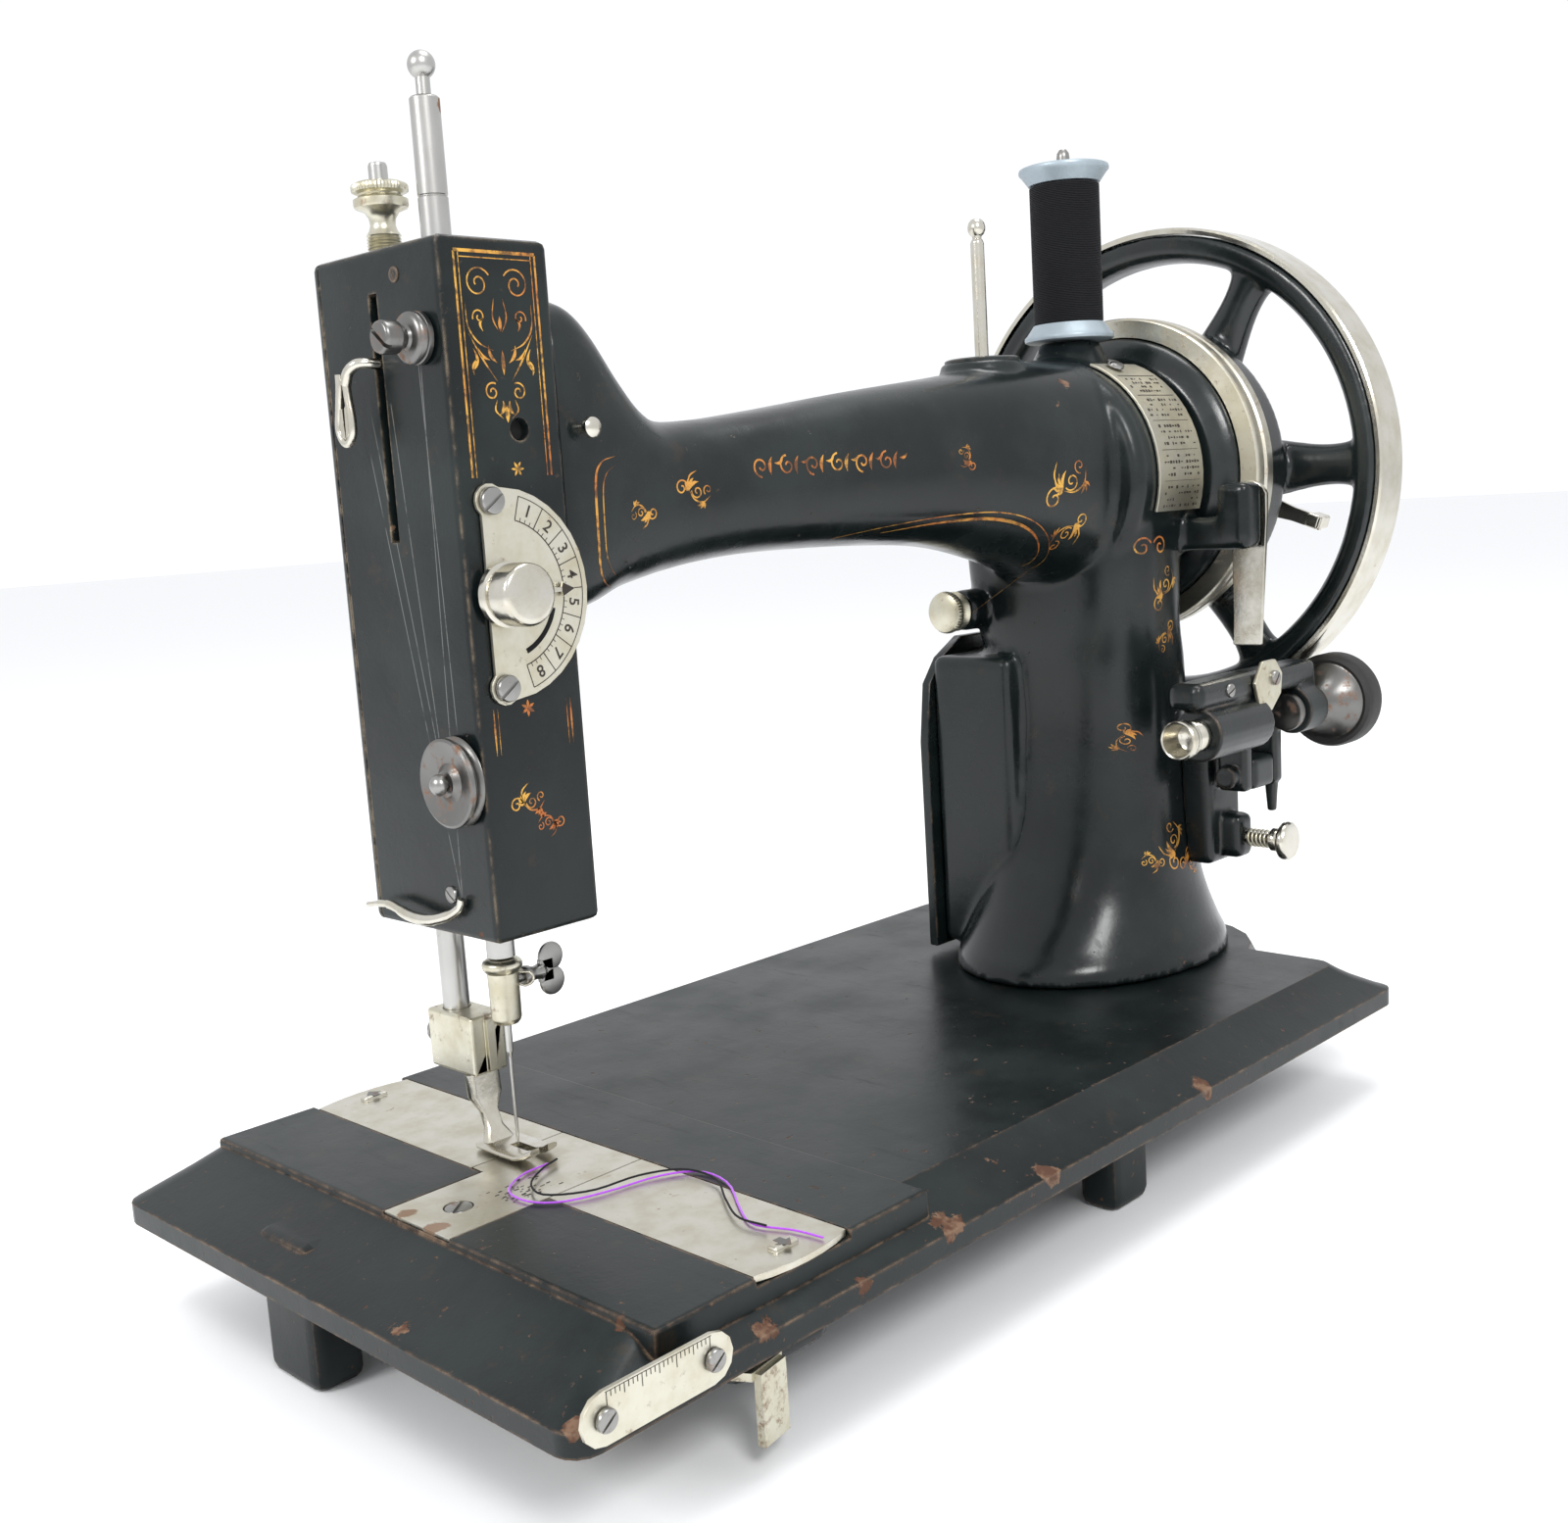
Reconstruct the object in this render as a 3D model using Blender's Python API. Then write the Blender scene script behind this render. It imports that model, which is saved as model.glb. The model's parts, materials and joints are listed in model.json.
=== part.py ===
"""Antique treadle sewing machine head: bed, arm, needle head, hand wheel and bobbin winder.

Everything is placed from the needle: the needle hole is the design origin, +X runs along the arm
to the hand wheel, +Y to the back and +Z up, with the top of the bed's pad at zero.  At the end
the whole machine is stood on its feet, centred over the world origin.
"""
import math

import bmesh
import bpy
from mathutils import Matrix, Vector

# ---- clearances -------------------------------------------------------------------------------
GAP = 0.0003             # between pieces that touch
RUNNING = 0.00015        # radial clearance of a bar or shaft in its hole

# ---- bed --------------------------------------------------------------------------------------
BED_LEFT = -0.064
BED_RIGHT = 0.262
BED_FRONT = -0.0988
BED_BACK = 0.0772
RIM_BOTTOM = -0.014
RIM_TOP = -0.009
BED_TOP = -0.0006        # the bed right of the pad
BED_WALL = 0.0064        # thickness of the bed's top
RIM_WIDTH = 0.011
PAD_LEFT = -0.0398
PAD_RIGHT = 0.041
PAD_FRONT = -0.0938
PAD_BACK = 0.0735
FOOT_LEVEL = -0.040      # what the machine stands on

# ---- plates and shuttle -----------------------------------------------------------------------
PLATE_THICKNESS = 0.0015
SLIDE_CENTRE = 0.0011
SLIDE_WIDTH = 0.0274
SLIDE_FRONT = -0.0946
SLIDE_BACK = 0.0722
NEEDLE_PLATE_LEFT = -0.0393
NEEDLE_PLATE_FRONT = -0.0273
NEEDLE_PLATE_BACK = 0.0018
PLATE_ARM_BACK = -0.0024
NEEDLE_HOLE = 0.0009
RACE_WIDTH = 0.031
RACE_DEPTH = 0.020
RACE_FRONT = -0.087
RACE_BACK = 0.066
SHUTTLE_CHANNEL = 0.018
SHUTTLE_LENGTH = 0.046
SHUTTLE_Y = -0.030

# ---- head -------------------------------------------------------------------------------------
HEAD_WIDTH = 0.0296
HEAD_FRONT = -0.0202
HEAD_BACK = 0.0290
HEAD_BOTTOM = 0.0575
HEAD_TOP = 0.2105
HEAD_WALL = 0.003
HEAD_COVER = 0.0027
NEEDLE_BAR_RADIUS = 0.00335
PRESSER_Y = 0.0205
PRESSER_BAR_RADIUS = 0.0033
PRESSER_ROD_RADIUS = 0.0022
SLOT_Y = 0.005
SLOT_WIDTH = 0.003
SLOT_BOTTOM = 0.147
SLOT_TOP = 0.201
TAKE_UP_Z = 0.186
TENSION_Y = -0.0116
TENSION_Z = 0.0941
DIAL_X = -0.0060
DIAL_Z = 0.1345
DIAL_RADIUS = 0.0233

# ---- column, arm and shaft --------------------------------------------------------------------
SHAFT_Y = -0.0137
SHAFT_Z = 0.1514
SHAFT_RADIUS = 0.0055
COLUMN_X = 0.225
DRUM_RADIUS = 0.036
DRUM_LEFT = 0.203
DRUM_RIGHT = 0.239
SPOOL_X = 0.2225
SPOOL_RISE = 0.0062      # the spool seat above the drum
SPOOL_SEAT = SHAFT_Z + DRUM_RADIUS + SPOOL_RISE
LEVER_PIVOT_X = 0.150
LEVER_Z = 0.1585
LEVER_Y = -0.004

# ---- hand wheel -------------------------------------------------------------------------------
WHEEL_LEFT = 0.2684      # the rim's face towards the arm
WHEEL_RADIUS = 0.0790
WHEEL_RIM = 0.0088
WHEEL_WIDTH = 0.0155
BAND_THICKNESS = 0.0020
PULLEY_RADIUS = 0.0500
PULLEY_LEFT = 0.2417
HUB_RADIUS = 0.0475
RING_THICKNESS = 0.0060
SPOKES = 6

# ---- bobbin winder ----------------------------------------------------------------------------
WINDER_WHEEL_RADIUS = 0.0148
WINDER_ANGLE = 231.5     # degrees about the shaft axis, from +Y, where the winder wheel bears
WINDER_GAP = 0.0005
WINDER_PIVOT_DROP = 0.018
LATCH_Z = 0.0385

# ---- threads ----------------------------------------------------------------------------------
THREAD_RADIUS = 0.00025

# ---- smaller pieces ---------------------------------------------------------------------------
NEEDLE_PLATE_SCREW = (-0.0279, -0.0146)
SCREW_SHANK = 0.0015
SCREW_HEAD = 0.0033
BED_LEVER_X = -0.036
BED_LEVER_Y = -0.060
LUGS = [(-0.050, 0.015, 0.0065, 0.011), (0.136, -0.078, 0.0085, 0.006), (0.225, 0.050, 0.009, 0.007)]
PIN_X = 0.180
PIN_Y = -0.012
PIN_SEAT = SHAFT_Z + 0.0362
BUSH_RADIUS = 0.0085
SPOOL_PIN_RADIUS = 0.002
THREAD_PIN_RADIUS = 0.002
REAR_HALF = 0.028
REAR_BACK = 0.027
REAR_TOP = 0.098
KNOB_Y = 0.012
KNOB_Z = 0.113
ARM_PIN = (0.0215, 0.1699)
STRAP_Y = -0.0645
STRAP_Z = 0.142
STRAP_X = 0.2335
SPOOL_BORE = 0.0032
SPOOL_HEIGHT = 0.052
SPOOL_RADIUS = 0.0137
SPOOL_CORE = 0.006
THREAD_OUTSIDE = 0.0106
STOP_LEVER_TURN = 200.0
STOP_PIN = 0.0016
PRESSURE_THREAD = 0.0040
DIAL_SPINDLE = 0.0022
DIAL_SCREW_X = -0.0075
DIAL_SCREW_RISE = 0.0203
DIAL_EAR = 0.0038
FRONT_HOLE = (0.0029, 0.1699)
TENSION_STUD = 0.0015
CHECK_Y = -0.0121
CHECK_Z = 0.1898
STEM_RADIUS = 0.0012
LIFTER_X = 0.0055
LIFTER_Z = 0.088
LIFTER_PIVOT = 0.0025
LIFTER_REACH = 0.034
CLAMP_SCREW_Z = 0.0425
CLAMP_LOW = 0.0185
CLAMP_HIGH = 0.0332
WINDER_TUBE_LEFT = 0.1935
WINDER_TUBE_RIGHT = 0.2240
BRACKET_X = 0.2400
BRACKET_HALF = 0.0065
LATCH_ROD = 0.0016
LATCH_REACH = 0.0175
WINDER_PIN = 0.0022
PURPLE_ROUTE = [(-0.0010, -0.0125), (-0.0090, -0.0130), (-0.0165, -0.0180), (-0.0175, -0.0265),
                (-0.0130, -0.0330), (-0.0030, -0.0370), (0.0100, -0.0400), (0.0170, -0.0460),
                (0.0160, -0.0560), (0.0080, -0.0680), (0.0040, -0.0760), (0.0070, -0.0850),
                (0.0080, -0.0925)]
BLACK_ROUTE = [(0.0010, -0.0135), (-0.0050, -0.0155), (-0.0120, -0.0205), (-0.0140, -0.0280),
               (-0.0060, -0.0350), (0.0060, -0.0372), (0.0145, -0.0430), (0.0150, -0.0530),
               (0.0085, -0.0630), (0.0035, -0.0720), (0.0040, -0.0800)]

COLOURS = {
    "japan": (0.010, 0.014, 0.015, 0.28, 0.0),
    "nickel": (0.62, 0.57, 0.47, 0.25, 1.0),
    "steel": (0.48, 0.48, 0.47, 0.30, 1.0),
    "rusty_nickel": (0.42, 0.33, 0.24, 0.5, 0.8),
    "rubber": (0.015, 0.014, 0.013, 0.6, 0.0),
    "spool": (0.50, 0.54, 0.57, 0.4, 0.3),
    "purple": (0.25, 0.05, 0.42, 0.8, 0.0),
    "black": (0.01, 0.01, 0.012, 0.8, 0.0),
}
X_AXIS = Vector((1, 0, 0))
Y_AXIS = Vector((0, 1, 0))
Z_AXIS = Vector((0, 0, 1))

for leftover in list(bpy.data.objects):
    bpy.data.objects.remove(leftover)
parts = bpy.data.collections.new("sewing_machine")
cutters = bpy.data.collections.new("cutters")
origin = bpy.data.objects.new("machine_origin", None)


# ---- small tools ------------------------------------------------------------------------------
def finish_of(kind):
    """The material of one finish, made once."""
    material = bpy.data.materials.get(kind)
    if material is None:
        red, green, blue, roughness, metallic = COLOURS[kind]
        material = bpy.data.materials.new(kind)
        material.use_nodes = True
        shader = material.node_tree.nodes["Principled BSDF"]
        shader.inputs["Base Color"].default_value = (red, green, blue, 1)
        shader.inputs["Roughness"].default_value = roughness
        shader.inputs["Metallic"].default_value = metallic
    return material


def own_material(obj, kind):
    """Give a piece its own copy of a finish."""
    material = finish_of(kind).copy()
    material.name = obj.name
    obj.data.materials.clear()
    obj.data.materials.append(material)


def to_object(name, shape, kind=None):
    """Turn a bmesh into an object; one with no finish is a cutter or a blank."""
    bmesh.ops.recalc_face_normals(shape, faces=shape.faces)
    if shape.calc_volume(signed=True) < 0:
        bmesh.ops.reverse_faces(shape, faces=shape.faces)
    mesh = bpy.data.meshes.new(name)
    shape.to_mesh(mesh)
    shape.free()
    obj = bpy.data.objects.new(name, mesh)
    place(obj, kind)
    return obj


def place(obj, kind):
    """Put an object with the parts, or with the cutters when it has no finish."""
    if kind is None:
        cutters.objects.link(obj)
        obj.hide_render = True
        obj.display_type = "WIRE"
        return
    parts.objects.link(obj)
    obj.parent = origin
    own_material(obj, kind)


def box_shape(low, high, rounding=0.0, segments=2):
    """A box between two corners, with its edges rounded."""
    low, high = Vector(low), Vector(high)
    shape = bmesh.new()
    bmesh.ops.create_cube(shape, size=1.0)
    bmesh.ops.scale(shape, vec=high - low, verts=shape.verts)
    bmesh.ops.translate(shape, vec=(low + high) / 2, verts=shape.verts)
    if rounding:
        bmesh.ops.bevel(shape, geom=shape.edges[:], offset=rounding, segments=segments,
                        affect="EDGES", profile=0.5, material=-1)
    return shape


def turn_to(axis):
    """The rotation that stands +Z along an axis."""
    return Z_AXIS.rotation_difference(Vector(axis)).to_matrix().to_4x4()


def turned_shape(profile, centre, axis=(0, 0, 1), segments=18):
    """A solid of revolution from (radius, height) points, closed at the axis or as a ring."""
    shape = bmesh.new()
    verts = [shape.verts.new((radius, 0, height)) for radius, height in profile]
    edges = [shape.edges.new(pair) for pair in zip(verts, verts[1:])]
    if profile[0][0] > 0 and profile[-1][0] > 0:
        edges.append(shape.edges.new((verts[-1], verts[0])))
    bmesh.ops.spin(shape, geom=verts + edges, cent=(0, 0, 0), axis=(0, 0, 1),
                   angle=2 * math.pi, steps=segments, use_merge=True)
    bmesh.ops.remove_doubles(shape, verts=shape.verts, dist=1e-6)
    shape.transform(Matrix.Translation(centre) @ turn_to(axis))
    return shape


def rod_shape(start, end, radius, end_radius=None, segments=16):
    """A round rod, or a cone, from one point to another."""
    start, end = Vector(start), Vector(end)
    shape = bmesh.new()
    bmesh.ops.create_cone(shape, cap_ends=True, segments=segments, radius1=radius,
                          radius2=radius if end_radius is None else end_radius,
                          depth=(end - start).length)
    shape.transform(Matrix.Translation((start + end) / 2) @ turn_to((end - start).normalized()))
    return shape


def plate_shape(outline, origin_point, across, up, thickness):
    """A flat outline in the (across, up) plane, given a thickness along their cross product."""
    across, up = Vector(across), Vector(up)
    normal = across.cross(up)
    shape = bmesh.new()
    verts = [shape.verts.new(Vector(origin_point) + across * a + up * b) for a, b in outline]
    face = shape.faces.new(verts)
    grown = bmesh.ops.extrude_face_region(shape, geom=[face])
    raised = [item for item in grown["geom"] if isinstance(item, bmesh.types.BMVert)]
    bmesh.ops.translate(shape, vec=normal * thickness, verts=raised)
    return shape


def loft_shape(rings):
    """A closed solid through rings that all have the same number of points."""
    shape = bmesh.new()
    rows = [[shape.verts.new(point) for point in ring] for ring in rings]
    count = len(rows[0])
    for lower, upper in zip(rows, rows[1:]):
        for step in range(count):
            following = (step + 1) % count
            shape.faces.new((lower[step], lower[following], upper[following], upper[step]))
    shape.faces.new(rows[0])
    shape.faces.new(rows[-1])
    return shape


def arc(centre, radius, start, end, steps):
    """Points of an arc in a plane, angles in degrees."""
    turns = [math.radians(start + (end - start) * step / steps) for step in range(steps + 1)]
    return [(centre[0] + radius * math.cos(t), centre[1] + radius * math.sin(t)) for t in turns]


def rounded_ring(left, right, front, back, height, radius, steps=4):
    """A level ring: a rectangle with round corners."""
    corners = [(right - radius, back - radius, 0), (left + radius, back - radius, 90),
               (left + radius, front + radius, 180), (right - radius, front + radius, 270)]
    points = []
    for x, y, turn in corners:
        points += arc((x, y), radius, turn, turn + 90, steps)
    return [(x, y, height) for x, y in points]


def oval(half_width, half_height, squareness, count):
    """A superellipse: 2 is an ellipse, more is squarer."""
    points = []
    for step in range(count):
        turn = 2 * math.pi * step / count
        wide, tall = math.cos(turn), math.sin(turn)
        points.append((half_width * math.copysign(abs(wide) ** (2 / squareness), wide),
                       half_height * math.copysign(abs(tall) ** (2 / squareness), tall)))
    return points


def boolean(obj, tool, operation):
    """Apply one exact Boolean and remove the tool."""
    modifier = obj.modifiers.new(operation.lower(), "BOOLEAN")
    modifier.operation = operation
    modifier.solver = "EXACT"
    modifier.object = tool
    bpy.context.view_layer.update()
    evaluated = obj.evaluated_get(bpy.context.evaluated_depsgraph_get())
    mesh = bpy.data.meshes.new_from_object(evaluated)
    obj.modifiers.clear()
    old = obj.data
    obj.data = mesh
    bpy.data.meshes.remove(old)
    bpy.data.objects.remove(tool)


def clean(obj):
    """Merge what a Boolean leaves doubled, and drop edges with no length."""
    shape = bmesh.new()
    shape.from_mesh(obj.data)
    bmesh.ops.remove_doubles(shape, verts=shape.verts, dist=2e-6)
    bmesh.ops.dissolve_degenerate(shape, edges=shape.edges, dist=2e-6)
    shape.to_mesh(obj.data)
    shape.free()


def build(name, kind, solid, joined=(), cut=()):
    """One piece: a solid, what is joined to it and then what is cut from it."""
    obj = to_object(name, solid, kind)
    for tool in joined:
        boolean(obj, to_object(name + "_join", tool), "UNION")
    for tool in cut:
        boolean(obj, to_object(name + "_cut", tool), "DIFFERENCE")
    if joined or cut:
        clean(obj)
        own_material(obj, kind)
    obj.data.shade_smooth()
    obj.data.set_sharp_from_angle(angle=math.radians(35))
    return obj


def set_pivot(obj, point):
    """Move an object's origin onto its joint's axis."""
    obj.data.transform(Matrix.Translation(-Vector(point)))
    obj.location = point


def screw_shape(centre, axis, radius, head_height, shank_radius, shank_length, slot=True):
    """A cheese-head screw's outline, its head outwards along the axis from the centre."""
    profile = [(0, -shank_length), (shank_radius, -shank_length), (shank_radius, 0), (radius, 0),
               (radius, head_height * 0.7), (radius * 0.8, head_height), (0, head_height)]
    return turned_shape(profile, centre, axis, segments=12)


def slot_cut(centre, axis, across, radius, depth, height):
    """The cutter of a screwdriver slot, across the top of a screw's head."""
    axis, across = Vector(axis), Vector(across)
    third = axis.cross(across)
    shape = bmesh.new()
    bmesh.ops.create_cube(shape, size=1.0)
    bmesh.ops.scale(shape, vec=(radius * 2.6, radius * 0.28, depth * 2), verts=shape.verts)
    frame = Matrix((across, third, axis)).transposed().to_4x4()
    shape.transform(Matrix.Translation(Vector(centre) + axis * height) @ frame)
    return shape


def slotted_screw(name, centre, axis, across, radius, head_height, shank_radius, shank_length):
    """A finished screw with its driver slot."""
    return build(name, "steel",
                 screw_shape(centre, axis, radius, head_height, shank_radius, shank_length),
                 cut=[slot_cut(centre, axis, across, radius, head_height * 0.45, head_height)])


def smooth_path(points, count):
    """A smooth curve through hand-chosen points, read at even steps of its parameter."""
    points = [Vector(point) for point in points]
    ends = [points[0] * 2 - points[1]] + points + [points[-1] * 2 - points[-2]]
    path = []
    spans = len(points) - 1
    for step in range(count + 1):
        place_on = min(step / count * spans, spans - 1e-9)
        index, t = int(place_on), place_on - int(place_on)
        a, b, c, d = ends[index:index + 4]
        path.append(0.5 * (2 * b + (c - a) * t + (2 * a - 5 * b + 4 * c - d) * t * t
                           + (3 * b - a - 3 * c + d) * t ** 3))
    return path


def tube(name, kind, points, radius, resolution=2):
    """A wire or thread: a curve with round filled ends."""
    curve = bpy.data.curves.new(name, "CURVE")
    curve.dimensions = "3D"
    curve.bevel_depth = radius
    curve.bevel_resolution = resolution
    curve.use_fill_caps = True
    spline = curve.splines.new("POLY")
    spline.points.add(len(points) - 1)
    for slot, point in zip(spline.points, points):
        slot.co = (*point, 1)
    obj = bpy.data.objects.new(name, curve)
    place(obj, kind)
    return obj


# ---- bed --------------------------------------------------------------------------------------
def bed_rings():
    """The bed's outline from the rim up over its ogee edge to the top."""
    insets = [(RIM_BOTTOM, 0, 0, 0, 0), (RIM_TOP, 0, 0, 0, 0),
              (-0.008, 0.003, 0.0023, 0.002, 0.0007), (-0.005, 0.014, 0.0078, 0.007, 0.002),
              (-0.0025, 0.022, 0.011, 0.0105, 0.003), (BED_TOP, 0.027, 0.0133, 0.0125, 0.004)]
    return [rounded_ring(BED_LEFT + left, BED_RIGHT - right, BED_FRONT + front, BED_BACK - back,
                         height, 0.006) for height, left, front, right, back in insets]


def end_lobe():
    """The round end of the bed under the column."""
    rings = []
    for height, grow in ((RIM_BOTTOM, 0.0), (RIM_TOP, 0.0), (BED_TOP, -0.004)):
        points = oval(0.046 + grow, 0.048 + grow, 2.2, 24)
        rings.append([(COLUMN_X + 0.010 + x, SHAFT_Y + y, height) for x, y in points])
    return loft_shape(rings)


def lug(x, y, half_x, half_y, top):
    """A cast lug that the machine stands on."""
    return box_shape((x - half_x, y - half_y, FOOT_LEVEL), (x + half_x, y + half_y, top), 0.003)


def plate_recess(left, right, front, back):
    """The shallow seat of a flush plate."""
    return box_shape((left - GAP, front - GAP, -PLATE_THICKNESS - GAP), (right + GAP, back + GAP, 0.01))


def make_bed():
    under = BED_TOP - BED_WALL
    slide_left = SLIDE_CENTRE - SLIDE_WIDTH / 2
    slide_right = SLIDE_CENTRE + SLIDE_WIDTH / 2
    channel = SHUTTLE_CHANNEL / 2
    pad = box_shape((PAD_LEFT, PAD_FRONT, under), (PAD_RIGHT, PAD_BACK, 0), 0.0012)
    hollow = box_shape((BED_LEFT + RIM_WIDTH, BED_FRONT + RIM_WIDTH, RIM_BOTTOM - 0.01),
                       (BED_RIGHT - RIM_WIDTH, BED_BACK - RIM_WIDTH, under))
    cuts = [hollow,
            plate_recess(slide_left, slide_right, SLIDE_FRONT - 0.02, SLIDE_BACK + 0.02),
            plate_recess(NEEDLE_PLATE_LEFT, slide_right, NEEDLE_PLATE_FRONT, PLATE_ARM_BACK),
            box_shape((SLIDE_CENTRE - channel, RACE_FRONT + 0.008, under - 0.01),
                      (SLIDE_CENTRE + channel, RACE_BACK - 0.008, 0)),
            rod_shape((*NEEDLE_PLATE_SCREW, -0.02), (*NEEDLE_PLATE_SCREW, 0.0), SCREW_SHANK + RUNNING),
            rod_shape((BED_LEVER_X, BED_LEVER_Y, under - 0.001),
                      (BED_LEVER_X, BED_LEVER_Y, under + 0.004), 0.0032)]
    bed = build("bed", "japan", loft_shape(bed_rings()), joined=[pad, end_lobe()], cut=cuts)
    top = under + 0.002
    for x, y, half_x, half_y in LUGS:
        boolean(bed, to_object("lug", lug(x, y, half_x, half_y, top)), "UNION")
    clean(bed)
    own_material(bed, "japan")


def make_plates():
    """The needle plate, its screw and the two slide plates over the shuttle."""
    slide_left = SLIDE_CENTRE - SLIDE_WIDTH / 2
    slide_right = SLIDE_CENTRE + SLIDE_WIDTH / 2
    outline = [(NEEDLE_PLATE_LEFT, NEEDLE_PLATE_FRONT), (slide_right, NEEDLE_PLATE_FRONT),
               (slide_right, NEEDLE_PLATE_BACK), (slide_left + GAP, NEEDLE_PLATE_BACK),
               (slide_left + GAP, PLATE_ARM_BACK), (NEEDLE_PLATE_LEFT, PLATE_ARM_BACK)]
    low = -PLATE_THICKNESS
    build("needle_plate", "nickel",
          plate_shape(outline, (0, 0, low), X_AXIS, Y_AXIS, PLATE_THICKNESS),
          cut=[rod_shape((0, 0, -0.01), (0, 0, 0.01), NEEDLE_HOLE, segments=12),
               rod_shape((*NEEDLE_PLATE_SCREW, -0.01), (*NEEDLE_PLATE_SCREW, 0.01),
                         SCREW_HEAD + RUNNING)])
    slotted_screw("needle_plate_screw", (*NEEDLE_PLATE_SCREW, low), Z_AXIS,
                  Vector((0.8, 0.6, 0)), SCREW_HEAD, PLATE_THICKNESS, SCREW_SHANK, 0.006)
    bow = 0.002
    for name, inner, outer in (("front_slide_plate", NEEDLE_PLATE_FRONT - GAP, SLIDE_FRONT),
                               ("rear_slide_plate", NEEDLE_PLATE_BACK + GAP, SLIDE_BACK)):
        side = math.copysign(1, outer - inner)
        ends = [(slide_left, inner), (slide_right, inner)]
        for step in range(7):
            across = 1 - step / 3
            ends.append((SLIDE_CENTRE + across * SLIDE_WIDTH / 2,
                         outer - side * bow * across ** 2))
        catch_y = outer - side * 0.007
        catch = box_shape((SLIDE_CENTRE - 0.0035, catch_y - 0.0014, -0.0005),
                          (SLIDE_CENTRE + 0.0035, catch_y + 0.0014, 0.0010), 0.0004, 1)
        build(name, "nickel", plate_shape(ends, (0, 0, low), X_AXIS, Y_AXIS, PLATE_THICKNESS),
              joined=[catch])


def make_ruler():
    """The ruled plate on the front of the rim and its two screws."""
    front = BED_FRONT - GAP
    middle = (RIM_TOP + RIM_BOTTOM) / 2 + 0.0045
    half = 0.0052
    left, right = BED_LEFT + 0.001, BED_LEFT + 0.038
    outline = arc((left + half, middle), half, 90, 270, 6) + arc((right - half, middle), half,
                                                                -90, 90, 6)
    holes = [rod_shape((x, front + 0.004, middle), (x, front - 0.004, middle), 0.0013 + RUNNING)
             for x in (left + half, right - half)]
    build("ruler_plate", "nickel",
          plate_shape(outline, (0, front, 0), X_AXIS, Z_AXIS, 0.0010), cut=holes)
    for name, x in (("ruler_screw_left", left + half), ("ruler_screw_right", right - half)):
        slotted_screw(name, (x, front - 0.0010 - GAP, middle), -Y_AXIS, X_AXIS, 0.0023, 0.0011,
                      0.0013, 0.0010)


def make_race():
    """The shuttle's trough under the bed."""
    top = BED_TOP - BED_WALL - GAP
    half, channel = RACE_WIDTH / 2, SHUTTLE_CHANNEL / 2
    body = box_shape((SLIDE_CENTRE - half, RACE_FRONT, top - RACE_DEPTH),
                     (SLIDE_CENTRE + half, RACE_BACK, top), 0.005, 3)
    trough = box_shape((SLIDE_CENTRE - channel, RACE_FRONT + 0.006, top - RACE_DEPTH + 0.004),
                       (SLIDE_CENTRE + channel, RACE_BACK - 0.006, top + 0.01), 0.002)
    build("shuttle_race", "japan", body, cut=[trough])


def shuttle_level():
    """The floor that the shuttle carrier runs on."""
    return BED_TOP - BED_WALL - GAP - RACE_DEPTH + 0.004 + GAP


def make_shuttle():
    """The boat shuttle and the carrier that drives it to and fro."""
    floor = shuttle_level()
    half = SHUTTLE_LENGTH / 2
    horn = 0.0025
    carrier = box_shape((SLIDE_CENTRE - 0.004, SHUTTLE_Y - half - 0.004, floor),
                        (SLIDE_CENTRE + 0.004, SHUTTLE_Y + half + 0.004, floor + horn))
    horns = [box_shape((SLIDE_CENTRE - 0.003, y, floor + 0.0005),
                       (SLIDE_CENTRE + 0.003, y + horn, floor + 0.009))
             for y in (SHUTTLE_Y - half - 0.0038, SHUTTLE_Y + half + 0.0013)]
    build("shuttle_carrier", "steel", carrier, joined=horns)
    boat = [(-1.0, 0.0004), (-0.85, 0.0022), (-0.5, 0.0039), (0.0, 0.0045), (0.6, 0.0044),
            (0.9, 0.0038), (1.0, 0.0028)]
    centre = floor + horn + 0.0045 + 2 * GAP
    rings = []
    for along, radius in boat:
        rings.append([(SLIDE_CENTRE + x, SHUTTLE_Y + along * half, centre + z)
                      for x, z in oval(radius, radius, 2.2, 16)])
    well = box_shape((SLIDE_CENTRE - 0.0026, SHUTTLE_Y - half * 0.6, centre - 0.002),
                     (SLIDE_CENTRE + 0.0026, SHUTTLE_Y + half * 0.75, centre + 0.01))
    build("shuttle", "steel", loft_shape(rings), cut=[well])


def make_bed_lever():
    """The nickel finger lever under the left front corner of the bed."""
    level = RIM_BOTTOM - 0.0035
    outline = [(-0.041, -0.066), (-0.033, -0.069), (-0.0175, -0.0955), (-0.0075, -0.0940),
               (-0.0075, -0.0885), (-0.0155, -0.0880), (-0.0285, -0.058), (-0.033, -0.0545),
               (-0.040, -0.056)]
    tab = [(-0.0165, -0.0950), (-0.0080, -0.0935), (-0.0077, -0.0953), (-0.0162, -0.0968)]
    boss = rod_shape((BED_LEVER_X, BED_LEVER_Y, level), (BED_LEVER_X, BED_LEVER_Y,
                     BED_TOP - BED_WALL - GAP), 0.005)
    pivot = rod_shape((BED_LEVER_X, BED_LEVER_Y, level), (BED_LEVER_X, BED_LEVER_Y,
                      BED_TOP - BED_WALL + 0.003), 0.003)
    lever = build("bed_lever", "rusty_nickel",
                  plate_shape(outline, (0, 0, level - 0.0018), X_AXIS, Y_AXIS, 0.0018),
                  joined=[plate_shape(tab, (0, 0, level - 0.016), X_AXIS, Y_AXIS, 0.0155),
                          boss, pivot])
    set_pivot(lever, (BED_LEVER_X, BED_LEVER_Y, level))


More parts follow.
